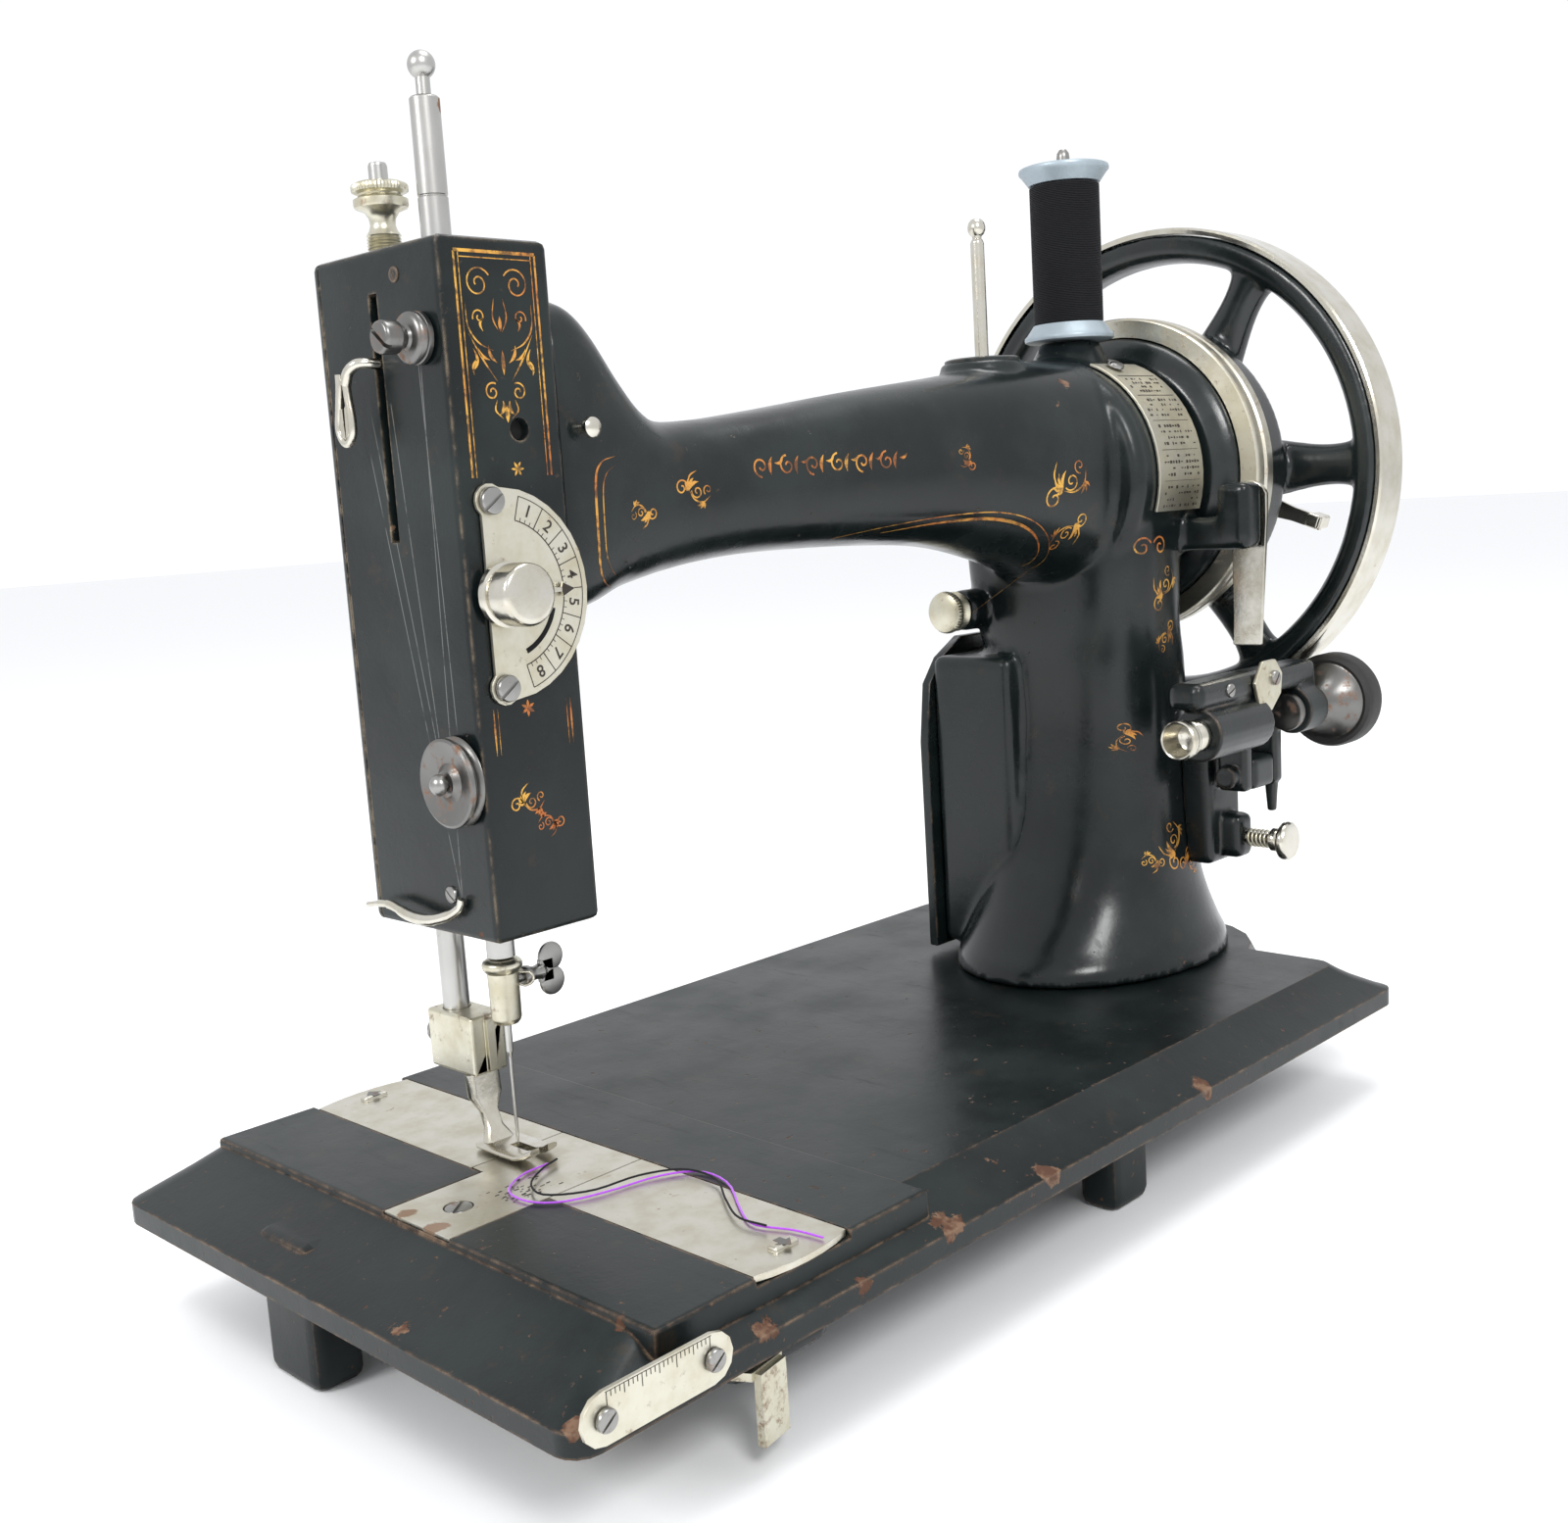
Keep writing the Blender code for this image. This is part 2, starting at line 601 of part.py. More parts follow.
# ---- arm and column ---------------------------------------------------------------------------
def column_solid():
    """The column, from its flared foot to the dome under the spool."""
    shares = [(0.0, -1, 50, 40, 2.0), (0.03, -1, 49.4, 39.6, 2.0), (0.07, -0.5, 44, 37, 2.1),
              (0.15, 0, 34.5, 34, 2.3), (0.24, 0.5, 28.5, 32.5, 2.4), (0.34, 1, 25, 31.5, 2.5),
              (0.5, 1, 23, 31, 2.6), (0.62, -0.5, 22, 31.5, 2.7), (0.71, -4, 20, 32.5, 3.0),
              (0.83, -5.5, 19.3, 34, 3.2), (1.0, -5.8, 19, 34.6, 3.2)]
    base = BED_TOP + GAP
    rings = []
    for share, shift, length, depth, square in shares:
        height = base + (SHAFT_Z - base) * share
        rings.append([(COLUMN_X + (shift + x) / 1000, SHAFT_Y + y / 1000, height)
                      for x, y in oval(length, depth, square, 20)])
    dome = [(0.45, 16.6, 29.5), (0.75, 15.6, 14.0), (0.92, 12.0, 9.0), (1.0, 9.0, 8.4)]
    for share, length, depth in dome:
        height = SHAFT_Z + (SPOOL_SEAT - SHAFT_Z) * share
        rings.append([(SPOOL_X + x / 1000, SHAFT_Y + y / 1000, height)
                      for x, y in oval(length, depth, 2.1, 20)])
    return loft_shape(rings)


def arm_solid():
    """The horn-shaped arm, from the tall web at the head to the column."""
    start = HEAD_WIDTH / 2 + GAP
    sections = [(0.0, 3.5, 22.0, -23.5, 48.5, 5.0), (0.04, 3.0, 21.6, -23.2, 47.8, 5.0),
                (0.075, 2.2, 20.6, -22.0, 43.5, 4.0), (0.115, 1.2, 19.3, -19.5, 34.0, 3.2),
                (0.155, 0.2, 18.2, -17.8, 25.5, 2.8), (0.20, -0.8, 17.4, -16.2, 21.2, 2.5),
                (0.27, -2.4, 17.0, -14.4, 21.0, 2.4), (0.37, -4.6, 17.0, -13.4, 23.0, 2.4),
                (0.55, -8.0, 18.0, -14.0, 27.5, 2.4), (0.71, -11.0, 20.5, -16.5, 31.0, 2.4),
                (0.86, -13.0, 25.0, -23.5, 34.5, 2.4), (1.0, -13.7, 29.0, -33.0, 37.0, 2.4)]
    rings = []
    for share, middle, half, low, high, square in sections:
        x = start + (DRUM_LEFT + 0.006 - start) * share
        centre = SHAFT_Z + (low + high) / 2000
        rings.append([(x, middle / 1000 + y / 1000, centre + z / 1000)
                      for y, z in oval(half, (high - low) / 2, square, 20)])
    return loft_shape(rings)


def drum_solid():
    """The round end of the arm around the shaft's bearing."""
    width = DRUM_RIGHT - DRUM_LEFT
    return turned_shape([(0, 0), (DRUM_RADIUS - 0.002, 0), (DRUM_RADIUS, 0.003),
                         (DRUM_RADIUS, width - 0.002), (DRUM_RADIUS - 0.002, width), (0, width)],
                        (DRUM_LEFT, SHAFT_Y, SHAFT_Z), X_AXIS, 28)


def lever_room():
    """The room in the arm that the needle lever swings in, deeper towards the head."""
    start, half = HEAD_WIDTH / 2 - 0.004, 0.007
    return [box_shape((start, LEVER_Y - half, SHAFT_Z - 0.0135),
                      (LEVER_PIVOT_X + 0.013, LEVER_Y + half, SHAFT_Z + 0.0175)),
            box_shape((start, LEVER_Y - half, SHAFT_Z - 0.0175),
                      (HEAD_WIDTH / 2 + 0.030, LEVER_Y + half, SHAFT_Z + 0.0175))]


def make_arm():
    pin_boss = turned_shape([(0, -0.006), (0.0125, -0.006), (0.0125, 0.0022), (0.0112, 0.0035),
                             (0, 0.0035)], (PIN_X, PIN_Y, PIN_SEAT - 0.0035))
    rear_housing = box_shape((COLUMN_X - REAR_HALF, SHAFT_Y + 0.01, 0.003),
                             (COLUMN_X + REAR_HALF, REAR_BACK, REAR_TOP), 0.0025)
    knob_boss = rod_shape((COLUMN_X - 0.008, KNOB_Y, KNOB_Z), (COLUMN_X - 0.031, KNOB_Y, KNOB_Z), 0.0065)
    strap_root = box_shape((STRAP_X - 0.0050, STRAP_Y - 0.005, STRAP_Z - 0.014),
                           (STRAP_X + 0.0050, SHAFT_Y - DRUM_RADIUS + 0.008, STRAP_Z - 0.004), 0.002)
    strap_lug = box_shape((STRAP_X - 0.0052, STRAP_Y - 0.0052, STRAP_Z - 0.013),
                          (STRAP_X + 0.0052, STRAP_Y + 0.0052, STRAP_Z + 0.006), 0.002)
    cam_room = rod_shape((LEVER_PIVOT_X + 0.010, SHAFT_Y, SHAFT_Z), (DRUM_LEFT + 0.002, SHAFT_Y, SHAFT_Z),
                         0.019, segments=24)
    cuts = lever_room() + [
        cam_room,
        rod_shape((DRUM_LEFT - 0.005, SHAFT_Y, SHAFT_Z), (DRUM_RIGHT + 0.01, SHAFT_Y, SHAFT_Z),
                  BUSH_RADIUS + RUNNING, segments=24),
        box_shape((COLUMN_X - 0.017, SHAFT_Y - 0.022, 0.007),
                  (COLUMN_X + 0.017, REAR_BACK + 0.01, REAR_TOP - 0.006)),
        rod_shape((SPOOL_X, SHAFT_Y, SPOOL_SEAT - 0.008), (SPOOL_X, SHAFT_Y, SPOOL_SEAT + 0.01),
                  SPOOL_PIN_RADIUS + RUNNING),
        rod_shape((PIN_X, PIN_Y, PIN_SEAT - 0.006), (PIN_X, PIN_Y, PIN_SEAT + 0.01),
                  THREAD_PIN_RADIUS + RUNNING),
        rod_shape((COLUMN_X - 0.020, KNOB_Y, KNOB_Z), (COLUMN_X - 0.04, KNOB_Y, KNOB_Z), 0.0022),
        rod_shape((ARM_PIN[0], HEAD_FRONT + 0.009, ARM_PIN[1]), (ARM_PIN[0], HEAD_FRONT - 0.01, ARM_PIN[1]),
                  0.0012 + RUNNING),
        rod_shape((STRAP_X - 0.01, STRAP_Y, STRAP_Z), (STRAP_X + 0.01, STRAP_Y, STRAP_Z),
                  0.0020 + RUNNING),
        latch_bore()]
    build("arm_column", "japan", column_solid(),
          joined=[arm_solid(), drum_solid(), pin_boss, rear_housing, knob_boss, strap_root,
                  strap_lug], cut=cuts)


def make_arm_fittings():
    """The rear cover, its thumb screw, the pins, the spool and the curved scale plate."""
    low, back = 0.0015, REAR_BACK + GAP
    half = REAR_HALF + 0.003
    cover = [(-half, low), (half, low), (half, REAR_TOP - 0.004), (half - 0.010, REAR_TOP + 0.005),
             (-half + 0.020, REAR_TOP + 0.005), (-half + 0.009, REAR_TOP - 0.001),
             (-half + 0.0025, REAR_TOP - 0.009), (-half, REAR_TOP - 0.028)]
    build("column_rear_cover", "japan",
          plate_shape(cover, (COLUMN_X, back + 0.0035, 0), X_AXIS, Z_AXIS, 0.0035))
    tip = COLUMN_X - 0.031
    knob = [(0, -0.008), (0.002, -0.008), (0.002, GAP), (0.0045, GAP), (0.0062, 0.002),
            (0.0042, 0.0035), (0.0058, 0.0048), (0.0066, 0.0062), (0.0058, 0.0078), (0.003, 0.0085),
            (0, 0.0085)]
    screw = build("rear_thumb_screw", "nickel", turned_shape(knob, (tip, KNOB_Y, KNOB_Z), -X_AXIS))
    set_pivot(screw, (tip, KNOB_Y, KNOB_Z))
    pin = [(0, -0.007), (SPOOL_PIN_RADIUS, -0.007), (SPOOL_PIN_RADIUS, 0.0555), (0.0012, 0.0575),
           (0, 0.0575)]
    build("spool_pin", "steel", turned_shape(pin, (SPOOL_X, SHAFT_Y, SPOOL_SEAT), segments=16))
    thin = THREAD_PIN_RADIUS
    pin = [(0, -0.005), (thin, -0.005), (thin, 0.0335), (0.0013, 0.035), (0.0022, 0.0362),
           (0.0026, 0.0378), (0.0021, 0.0395), (0, 0.0405)]
    build("thread_pin", "nickel", turned_shape(pin, (PIN_X, PIN_Y, PIN_SEAT), segments=16))
    make_spool()
    scale = arc((SHAFT_Y, SHAFT_Z), DRUM_RADIUS + GAP, 112, 197, 14)
    scale += arc((SHAFT_Y, SHAFT_Z), DRUM_RADIUS + GAP + 0.0009, 197, 112, 14)
    build("scale_plate", "nickel",
          plate_shape(scale, (DRUM_RIGHT - 0.0265, 0, 0), Y_AXIS, Z_AXIS, 0.0245))
    turn = math.radians(118)
    out = Vector((0, math.cos(turn), math.sin(turn)))
    seat = Vector((DRUM_RIGHT - 0.019, SHAFT_Y, SHAFT_Z)) + out * (DRUM_RADIUS + 0.0009 + 3 * GAP)
    slotted_screw("scale_plate_screw", seat, out, X_AXIS, 0.0028, 0.0012, 0.0012, GAP)


def make_spool():
    """The thread spool and the thread wound on it."""
    top = SPOOL_HEIGHT
    flange, taper = 0.0016, 0.0052
    profile = [(SPOOL_BORE, 0), (SPOOL_RADIUS - 0.001, 0), (SPOOL_RADIUS, flange), (0.0108, taper),
               (SPOOL_CORE, taper), (SPOOL_CORE, top - taper), (0.0108, top - taper),
               (SPOOL_RADIUS, top - flange), (SPOOL_RADIUS - 0.001, top), (SPOOL_BORE, top)]
    seat = (SPOOL_X, SHAFT_Y, SPOOL_SEAT + GAP)
    spool = build("thread_spool", "spool", turned_shape(profile, seat, segments=24))
    set_pivot(spool, seat)
    wound = [(SPOOL_CORE + GAP, taper + GAP), (THREAD_OUTSIDE, taper + GAP),
             (THREAD_OUTSIDE, top - taper - GAP), (SPOOL_CORE + GAP, top - taper - GAP)]
    thread = build("spool_thread", "black", turned_shape(wound, seat, segments=24))
    set_pivot(thread, seat)


# ---- shaft and hand wheel ---------------------------------------------------------------------
def make_shaft():
    """The main shaft in its bush, with the lever's cam at its inner end."""
    flange = 0.0020
    width = DRUM_RIGHT - DRUM_LEFT - 0.001
    bush = [(SHAFT_RADIUS + RUNNING, -width), (BUSH_RADIUS, -width), (BUSH_RADIUS, GAP),
            (0.014, GAP), (0.014, flange), (SHAFT_RADIUS + RUNNING, flange)]
    build("shaft_bush", "steel", turned_shape(bush, (DRUM_RIGHT, SHAFT_Y, SHAFT_Z), X_AXIS, 24))
    cam_x = LEVER_PIVOT_X + 0.030
    end = WHEEL_LEFT + WHEEL_WIDTH + 0.003
    shaft = build("main_shaft", "steel",
                  rod_shape((cam_x, SHAFT_Y, SHAFT_Z), (end, SHAFT_Y, SHAFT_Z), SHAFT_RADIUS,
                            segments=24))
    set_pivot(shaft, (WHEEL_LEFT, SHAFT_Y, SHAFT_Z))
    cam = [(SHAFT_RADIUS + RUNNING, 0), (0.016, 0), (0.016, 0.008), (SHAFT_RADIUS + RUNNING, 0.008)]
    cam = build("lever_cam", "steel", turned_shape(cam, (cam_x + 0.004, SHAFT_Y, SHAFT_Z), X_AXIS, 28))
    set_pivot(cam, (cam_x, SHAFT_Y, SHAFT_Z))


def wheel_spoke(angle):
    """One tapered spoke from the hub to the rim."""
    inner, outer = 0.040, WHEEL_RADIUS - WHEEL_RIM + 0.003
    middle = WHEEL_LEFT + WHEEL_WIDTH * 0.42
    rings = []
    for radius, wide, thick in ((inner, 0.0092, 0.0055), (0.055, 0.0066, 0.0046),
                                (outer - 0.006, 0.0066, 0.0044), (outer, 0.0085, 0.0048)):
        rings.append([(radius, across, middle + along) for across, along in oval(wide, thick, 2.2, 12)])
    shape = loft_shape([[(z, x, y) for x, y, z in ring] for ring in rings])
    shape.transform(Matrix.Translation((0, SHAFT_Y, SHAFT_Z))
                    @ Matrix.Rotation(math.radians(angle), 4, "X"))
    return shape


def make_wheel():
    """The hand wheel with its belt pulley, the nickel ring and the plated rim."""
    bore = SHAFT_RADIUS + RUNNING
    ring_left, ring_right = 0.0053, 0.0147
    body = PULLEY_RADIUS - RING_THICKNESS
    end = WHEEL_LEFT + WHEEL_WIDTH - PULLEY_LEFT
    hub = [(bore, 0), (body - 0.007, 0), (body - 0.003, 0.002), (body - GAP, ring_left - 0.001),
           (body - GAP, ring_right + GAP), (HUB_RADIUS, ring_right + GAP),
           (HUB_RADIUS, WHEEL_LEFT - PULLEY_LEFT + 0.001),
           (HUB_RADIUS - 0.002, WHEEL_LEFT - PULLEY_LEFT + 0.003),
           (HUB_RADIUS - 0.014, WHEEL_LEFT - PULLEY_LEFT + 0.0035),
           (0.024, WHEEL_LEFT - PULLEY_LEFT + 0.007), (0.020, end), (bore, end)]
    centre = (PULLEY_LEFT, SHAFT_Y, SHAFT_Z)
    outer = WHEEL_RADIUS - BAND_THICKNESS - GAP
    inner = WHEEL_RADIUS - WHEEL_RIM - BAND_THICKNESS
    left, right = WHEEL_LEFT - PULLEY_LEFT, end
    rim = [(inner + 0.003, left + 0.0004), (outer - 0.001, left), (outer, left + 0.001),
           (outer, right - 0.001), (outer - 0.001, right), (inner + 0.003, right - 0.0004),
           (inner, right - 0.004), (inner, left + 0.004)]
    spokes = [wheel_spoke(360 * step / SPOKES) for step in range(SPOKES)]
    pivot = stop_lever_pivot()
    hole = rod_shape(pivot - X_AXIS * 0.009, pivot + X_AXIS * 0.002, STOP_PIN + RUNNING)
    wheel = build("hand_wheel", "japan", turned_shape(rim, centre, X_AXIS, 40),
                  joined=[turned_shape(hub, centre, X_AXIS, 24)] + spokes, cut=[hole])
    set_pivot(wheel, (WHEEL_LEFT, SHAFT_Y, SHAFT_Z))
    band = [(outer + GAP, left + 0.0003), (WHEEL_RADIUS - 0.0006, left + 0.0003),
            (WHEEL_RADIUS, left + 0.0015), (WHEEL_RADIUS, right - 0.0015),
            (WHEEL_RADIUS - 0.0006, right - 0.0003), (outer + GAP, right - 0.0003)]
    band = build("wheel_rim_band", "nickel", turned_shape(band, centre, X_AXIS, 40))
    set_pivot(band, (WHEEL_LEFT, SHAFT_Y, SHAFT_Z))
    ring = [(body, ring_left), (PULLEY_RADIUS - 0.0005, ring_left), (PULLEY_RADIUS, ring_left + 0.001),
            (PULLEY_RADIUS, ring_right), (body, ring_right)]
    ring = build("pulley_ring", "nickel", turned_shape(ring, centre, X_AXIS, 24))
    set_pivot(ring, (WHEEL_LEFT, SHAFT_Y, SHAFT_Z))
    make_stop_lever()


def stop_lever_pivot():
    """Where the stop lever is pinned to the face of the hub."""
    turn = math.radians(STOP_LEVER_TURN)
    out = Vector((0, math.cos(turn), math.sin(turn)))
    return Vector((WHEEL_LEFT + WHEEL_WIDTH + GAP, SHAFT_Y, SHAFT_Z)) + out * 0.0145


def make_stop_lever():
    """The small nickel finger on the hub that frees the wheel from the shaft."""
    turn = math.radians(STOP_LEVER_TURN)
    out = Vector((0, math.cos(turn), math.sin(turn)))
    side = X_AXIS.cross(out)
    centre = stop_lever_pivot()
    outline = [(-0.004, -0.004), (0.004, -0.005), (0.030, -0.0022), (0.040, -0.0022), (0.040, 0.0022),
               (0.030, 0.0022), (0.004, 0.005), (-0.004, 0.004)]
    finger = centre + out * 0.037
    tip = box_shape((-0.0022, -0.0022, -0.001), (0.0026, 0.0022, 0.007), 0.0006, 1)
    tip.transform(Matrix.Translation(finger) @ Matrix((out, side, X_AXIS)).transposed().to_4x4())
    pin = rod_shape(centre - X_AXIS * 0.006, centre + X_AXIS * 0.001, STOP_PIN)
    lever = build("stop_lever", "nickel", plate_shape(outline, centre, out, side, 0.0016),
                  joined=[tip, pin])
    set_pivot(lever, centre)


# ---- head -------------------------------------------------------------------------------------
def head_box(front, back):
    """The head's outline between two depths, with its long edges rounded."""
    half = HEAD_WIDTH / 2
    return box_shape((-half, front, HEAD_BOTTOM), (half, back, HEAD_TOP), 0.0018)


def upright(x, y, low, high, radius, segments=16):
    return rod_shape((x, y, low), (x, y, high), radius, segments=segments)


def make_head():
    """The hollow head and the cover that closes its back."""
    half, wall = HEAD_WIDTH / 2, HEAD_WALL
    inside_back = HEAD_BACK - HEAD_COVER - GAP
    low, high = HEAD_BOTTOM + wall + 0.001, HEAD_TOP - wall - 0.001
    below, above = HEAD_BOTTOM - 0.01, HEAD_TOP + 0.01
    left, front = -half - 0.01, HEAD_FRONT - 0.01
    cuts = [
        box_shape((-half + wall, HEAD_FRONT + wall, low), (half - wall, HEAD_BACK + 0.02, high)),
        box_shape((-0.1, inside_back, 0), (0.1, HEAD_BACK + 0.1, 0.4)),
        upright(0, 0, below, above, NEEDLE_BAR_RADIUS + RUNNING),
        upright(0, PRESSER_Y, below, HEAD_BOTTOM + 0.02, PRESSER_BAR_RADIUS + RUNNING),
        upright(0, PRESSER_Y, HEAD_TOP - 0.02, above, PRESSURE_THREAD + RUNNING),
        box_shape((left, SLOT_Y - SLOT_WIDTH / 2, SLOT_BOTTOM),
                  (-half + wall + 0.002, SLOT_Y + SLOT_WIDTH / 2, SLOT_TOP)),
        box_shape((half - wall - 0.002, LEVER_Y - 0.007, SHAFT_Z - 0.0175),
                  (half + 0.01, LEVER_Y + 0.007, SHAFT_Z + 0.0175)),
        rod_shape((DIAL_X, front, DIAL_Z), (DIAL_X, HEAD_FRONT + wall + 0.002, DIAL_Z),
                  DIAL_SPINDLE + RUNNING),
        rod_shape((FRONT_HOLE[0], front, FRONT_HOLE[1]),
                  (FRONT_HOLE[0], HEAD_FRONT + wall + 0.002, FRONT_HOLE[1]), 0.0025),
        rod_shape((left, TENSION_Y, TENSION_Z), (-half + wall + 0.002, TENSION_Y, TENSION_Z),
                  TENSION_STUD + RUNNING),
        rod_shape((left, CHECK_Y, CHECK_Z), (-half + wall + 0.002, CHECK_Y, CHECK_Z),
                  TENSION_STUD + RUNNING)]
    for rise in (-DIAL_SCREW_RISE, DIAL_SCREW_RISE):
        cuts.append(rod_shape((DIAL_SCREW_X, front, DIAL_Z + rise),
                              (DIAL_SCREW_X, HEAD_FRONT + wall + 0.002, DIAL_Z + rise),
                              SCREW_SHANK + RUNNING))
    build("head_housing", "japan", head_box(HEAD_FRONT, HEAD_BACK + 0.02), cut=cuts)
    cover_cuts = [box_shape((-0.1, HEAD_FRONT - 0.1, 0), (0.1, HEAD_BACK - HEAD_COVER, 0.4)),
                  rod_shape((LIFTER_X, 0, LIFTER_Z), (LIFTER_X, HEAD_BACK + 0.02, LIFTER_Z),
                            LIFTER_PIVOT + RUNNING)]
    build("head_rear_cover", "japan", head_box(HEAD_FRONT - 0.02, HEAD_BACK), cut=cover_cuts)


def make_needle_bar():
    """The needle bar with its ball end, the needle clamp, its wing screw and the needle."""
    radius = NEEDLE_BAR_RADIUS
    top, ball = 0.2430, 0.0031
    low = 0.0487
    profile = [(0, low), (radius, low), (radius, top), (0.0016, top + 0.0004), (0.0016, top + 0.004)]
    for step in range(7):
        turn = math.radians(-60 + 150 * step / 6)
        profile.append((max(ball * math.cos(turn), 0), top + 0.0067 + ball * math.sin(turn)))
    profile[-1] = (0, profile[-1][1])
    build("needle_bar", "steel", turned_shape(profile, (0, 0, 0)))
    shank = 0.0009
    clamp = [(0, low - GAP), (0.0040, low - GAP), (0.0048, low - 0.0012), (0.0048, low - 0.0022),
             (0.0038, low - 0.0034), (0.0036, low - 0.0150), (0.0030, low - 0.0158),
             (shank + RUNNING, low - 0.0158), (shank + RUNNING, low - 0.0068), (0, low - 0.0068)]
    hole = rod_shape((0.001, 0, CLAMP_SCREW_Z), (0.01, 0, CLAMP_SCREW_Z), 0.0012 + RUNNING,
                     segments=12)
    build("needle_clamp", "nickel", turned_shape(clamp[::-1], (0, 0, 0)), cut=[hole])
    make_wing_screw()
    needle = [(0, 0.0016), (0.00025, 0.0028), (0.0004, 0.005), (0.00045, 0.024), (shank, 0.0255),
              (shank, low - 0.0072), (0, low - 0.0072)]
    build("needle", "steel", turned_shape(needle, (0, 0, 0), segments=12))


def make_wing_screw():
    """The needle clamp's thumb screw with its two flat wings."""
    z = CLAMP_SCREW_Z
    shaft = [(0, 0.0021), (0.0012, 0.0021), (0.0012, 0.0052), (0.0021, 0.0052), (0.0023, 0.0120),
             (0, 0.0124)]
    wings = []
    for side in (-1, 1):
        wings.append(rod_shape((0.0142, -0.0007, z + side * 0.0030), (0.0142, 0.0007, z + side * 0.0030),
                               0.0036, segments=16))
    middle = box_shape((0.0105, -0.0007, z - 0.003), (0.0145, 0.0007, z + 0.003))
    screw = build("needle_clamp_screw", "steel", turned_shape(shaft, (0, 0, z), X_AXIS, 16),
                  joined=[middle] + wings)
    set_pivot(screw, (0, 0, z))


def make_presser():
    """The presser bar, its spring and pressure nut, the clamp and the foot."""
    y = PRESSER_Y
    radius, rod = PRESSER_BAR_RADIUS, PRESSER_ROD_RADIUS
    step, top = 0.150, 0.2328
    bar = [(0, 0.0190), (radius, 0.0190), (radius, step), (rod, step), (rod, top - 0.0006),
           (rod - 0.0005, top), (0, top)]
    build("presser_bar", "steel", turned_shape(bar, (0, y, 0)))
    bore = rod + RUNNING
    nut = [(bore, HEAD_TOP - 0.010), (PRESSURE_THREAD, HEAD_TOP - 0.010), (PRESSURE_THREAD, 0.2165),
           (0.0031, 0.2180), (0.0031, 0.2205), (0.0040, 0.2220), (0.0062, 0.2230), (0.0062, 0.2245),
           (0.0050, 0.2250), (0.0050, 0.2256), (0.0064, 0.2262), (0.0064, 0.2276), (0.0050, 0.2284),
           (bore, 0.2284)]
    nut = build("pressure_nut", "nickel", turned_shape(nut, (0, y, 0)))
    set_pivot(nut, (0, y, HEAD_TOP))
    coils, wire = 7, 0.0005
    low, high = step + GAP + wire, HEAD_TOP - 0.010 - GAP - wire
    helix = []
    for turn in range(coils * 9 + 1):
        angle = 2 * math.pi * turn / 9
        helix.append((0.0032 * math.cos(angle), y + 0.0032 * math.sin(angle),
                      low + (high - low) * turn / (coils * 9)))
    tube("presser_spring", "steel", helix, wire, 1)
    block = box_shape((-0.0050, y - 0.0125, CLAMP_LOW), (0.0050, y + 0.0058, CLAMP_HIGH), 0.0008)
    screw = rod_shape((0, y + 0.0055, 0.0258), (0, y + 0.0085, 0.0258), 0.0026, segments=12)
    rib = box_shape((-0.0012, y - 0.0137, CLAMP_LOW + 0.001), (0.0012, y - 0.012, CLAMP_HIGH - 0.001))
    build("presser_clamp", "nickel", block, joined=[screw, rib],
          cut=[upright(0, y, CLAMP_LOW - 0.01, CLAMP_HIGH + 0.01, radius + RUNNING)])
    make_foot()


def make_foot():
    """The presser foot: a flat shank, a narrow neck and a sole with a turned-up toe."""
    start = CLAMP_LOW - GAP
    y = PRESSER_Y
    rings = []
    for z, middle, wide, thick in ((start, y - 0.008, 0.0046, 0.0014), (0.0125, y - 0.0085, 0.0046, 0.0014),
                                   (0.0085, y - 0.0095, 0.0023, 0.0013), (0.0050, y - 0.0110, 0.0024,
                                                                          0.0012),
                                   (0.0018, y - 0.0128, 0.0042, 0.0018)):
        rings.append([(a, middle + b, z) for a, b in oval(wide, thick, 4, 16)])
    sole = []
    for along, wide, rise in ((0.0105, 0.0050, 0), (0.0095, 0.0056, 0), (0, 0.0058, 0), (-0.005, 0.0056, 0),
                              (-0.008, 0.0050, 0.0008), (-0.010, 0.0040, 0.0020)):
        sole.append([(a, along, 0.0013 + rise + b) for a, b in oval(wide, 0.0008, 4, 16)])
    slot = box_shape((-0.0013, -0.0125, -0.002), (0.0013, 0.0016, 0.006))
    build("presser_foot", "nickel", loft_shape(sole), joined=[loft_shape(rings)], cut=[slot])


def make_lifter():
    """The presser lifter on the back of the head."""
    pivot = Vector((LIFTER_X, HEAD_BACK + GAP, LIFTER_Z))
    outline = arc((0, 0), 0.006, -30, 210, 8)
    outline += [(-0.0060, -0.008), (-0.0110, -LIFTER_REACH + 0.004), (-0.0085, -LIFTER_REACH),
                (-0.0035, -LIFTER_REACH), (0.0012, -LIFTER_REACH + 0.005), (0.0048, -0.008)]
    plate = plate_shape([(-a, b) for a, b in outline], pivot + Vector((0, 0, 0)), -X_AXIS, Z_AXIS, 0.003)
    pin = rod_shape(pivot + Y_AXIS * 0.001, pivot - Y_AXIS * 0.0035, LIFTER_PIVOT)
    lifter = build("presser_lifter", "nickel", plate, joined=[pin])
    set_pivot(lifter, pivot)


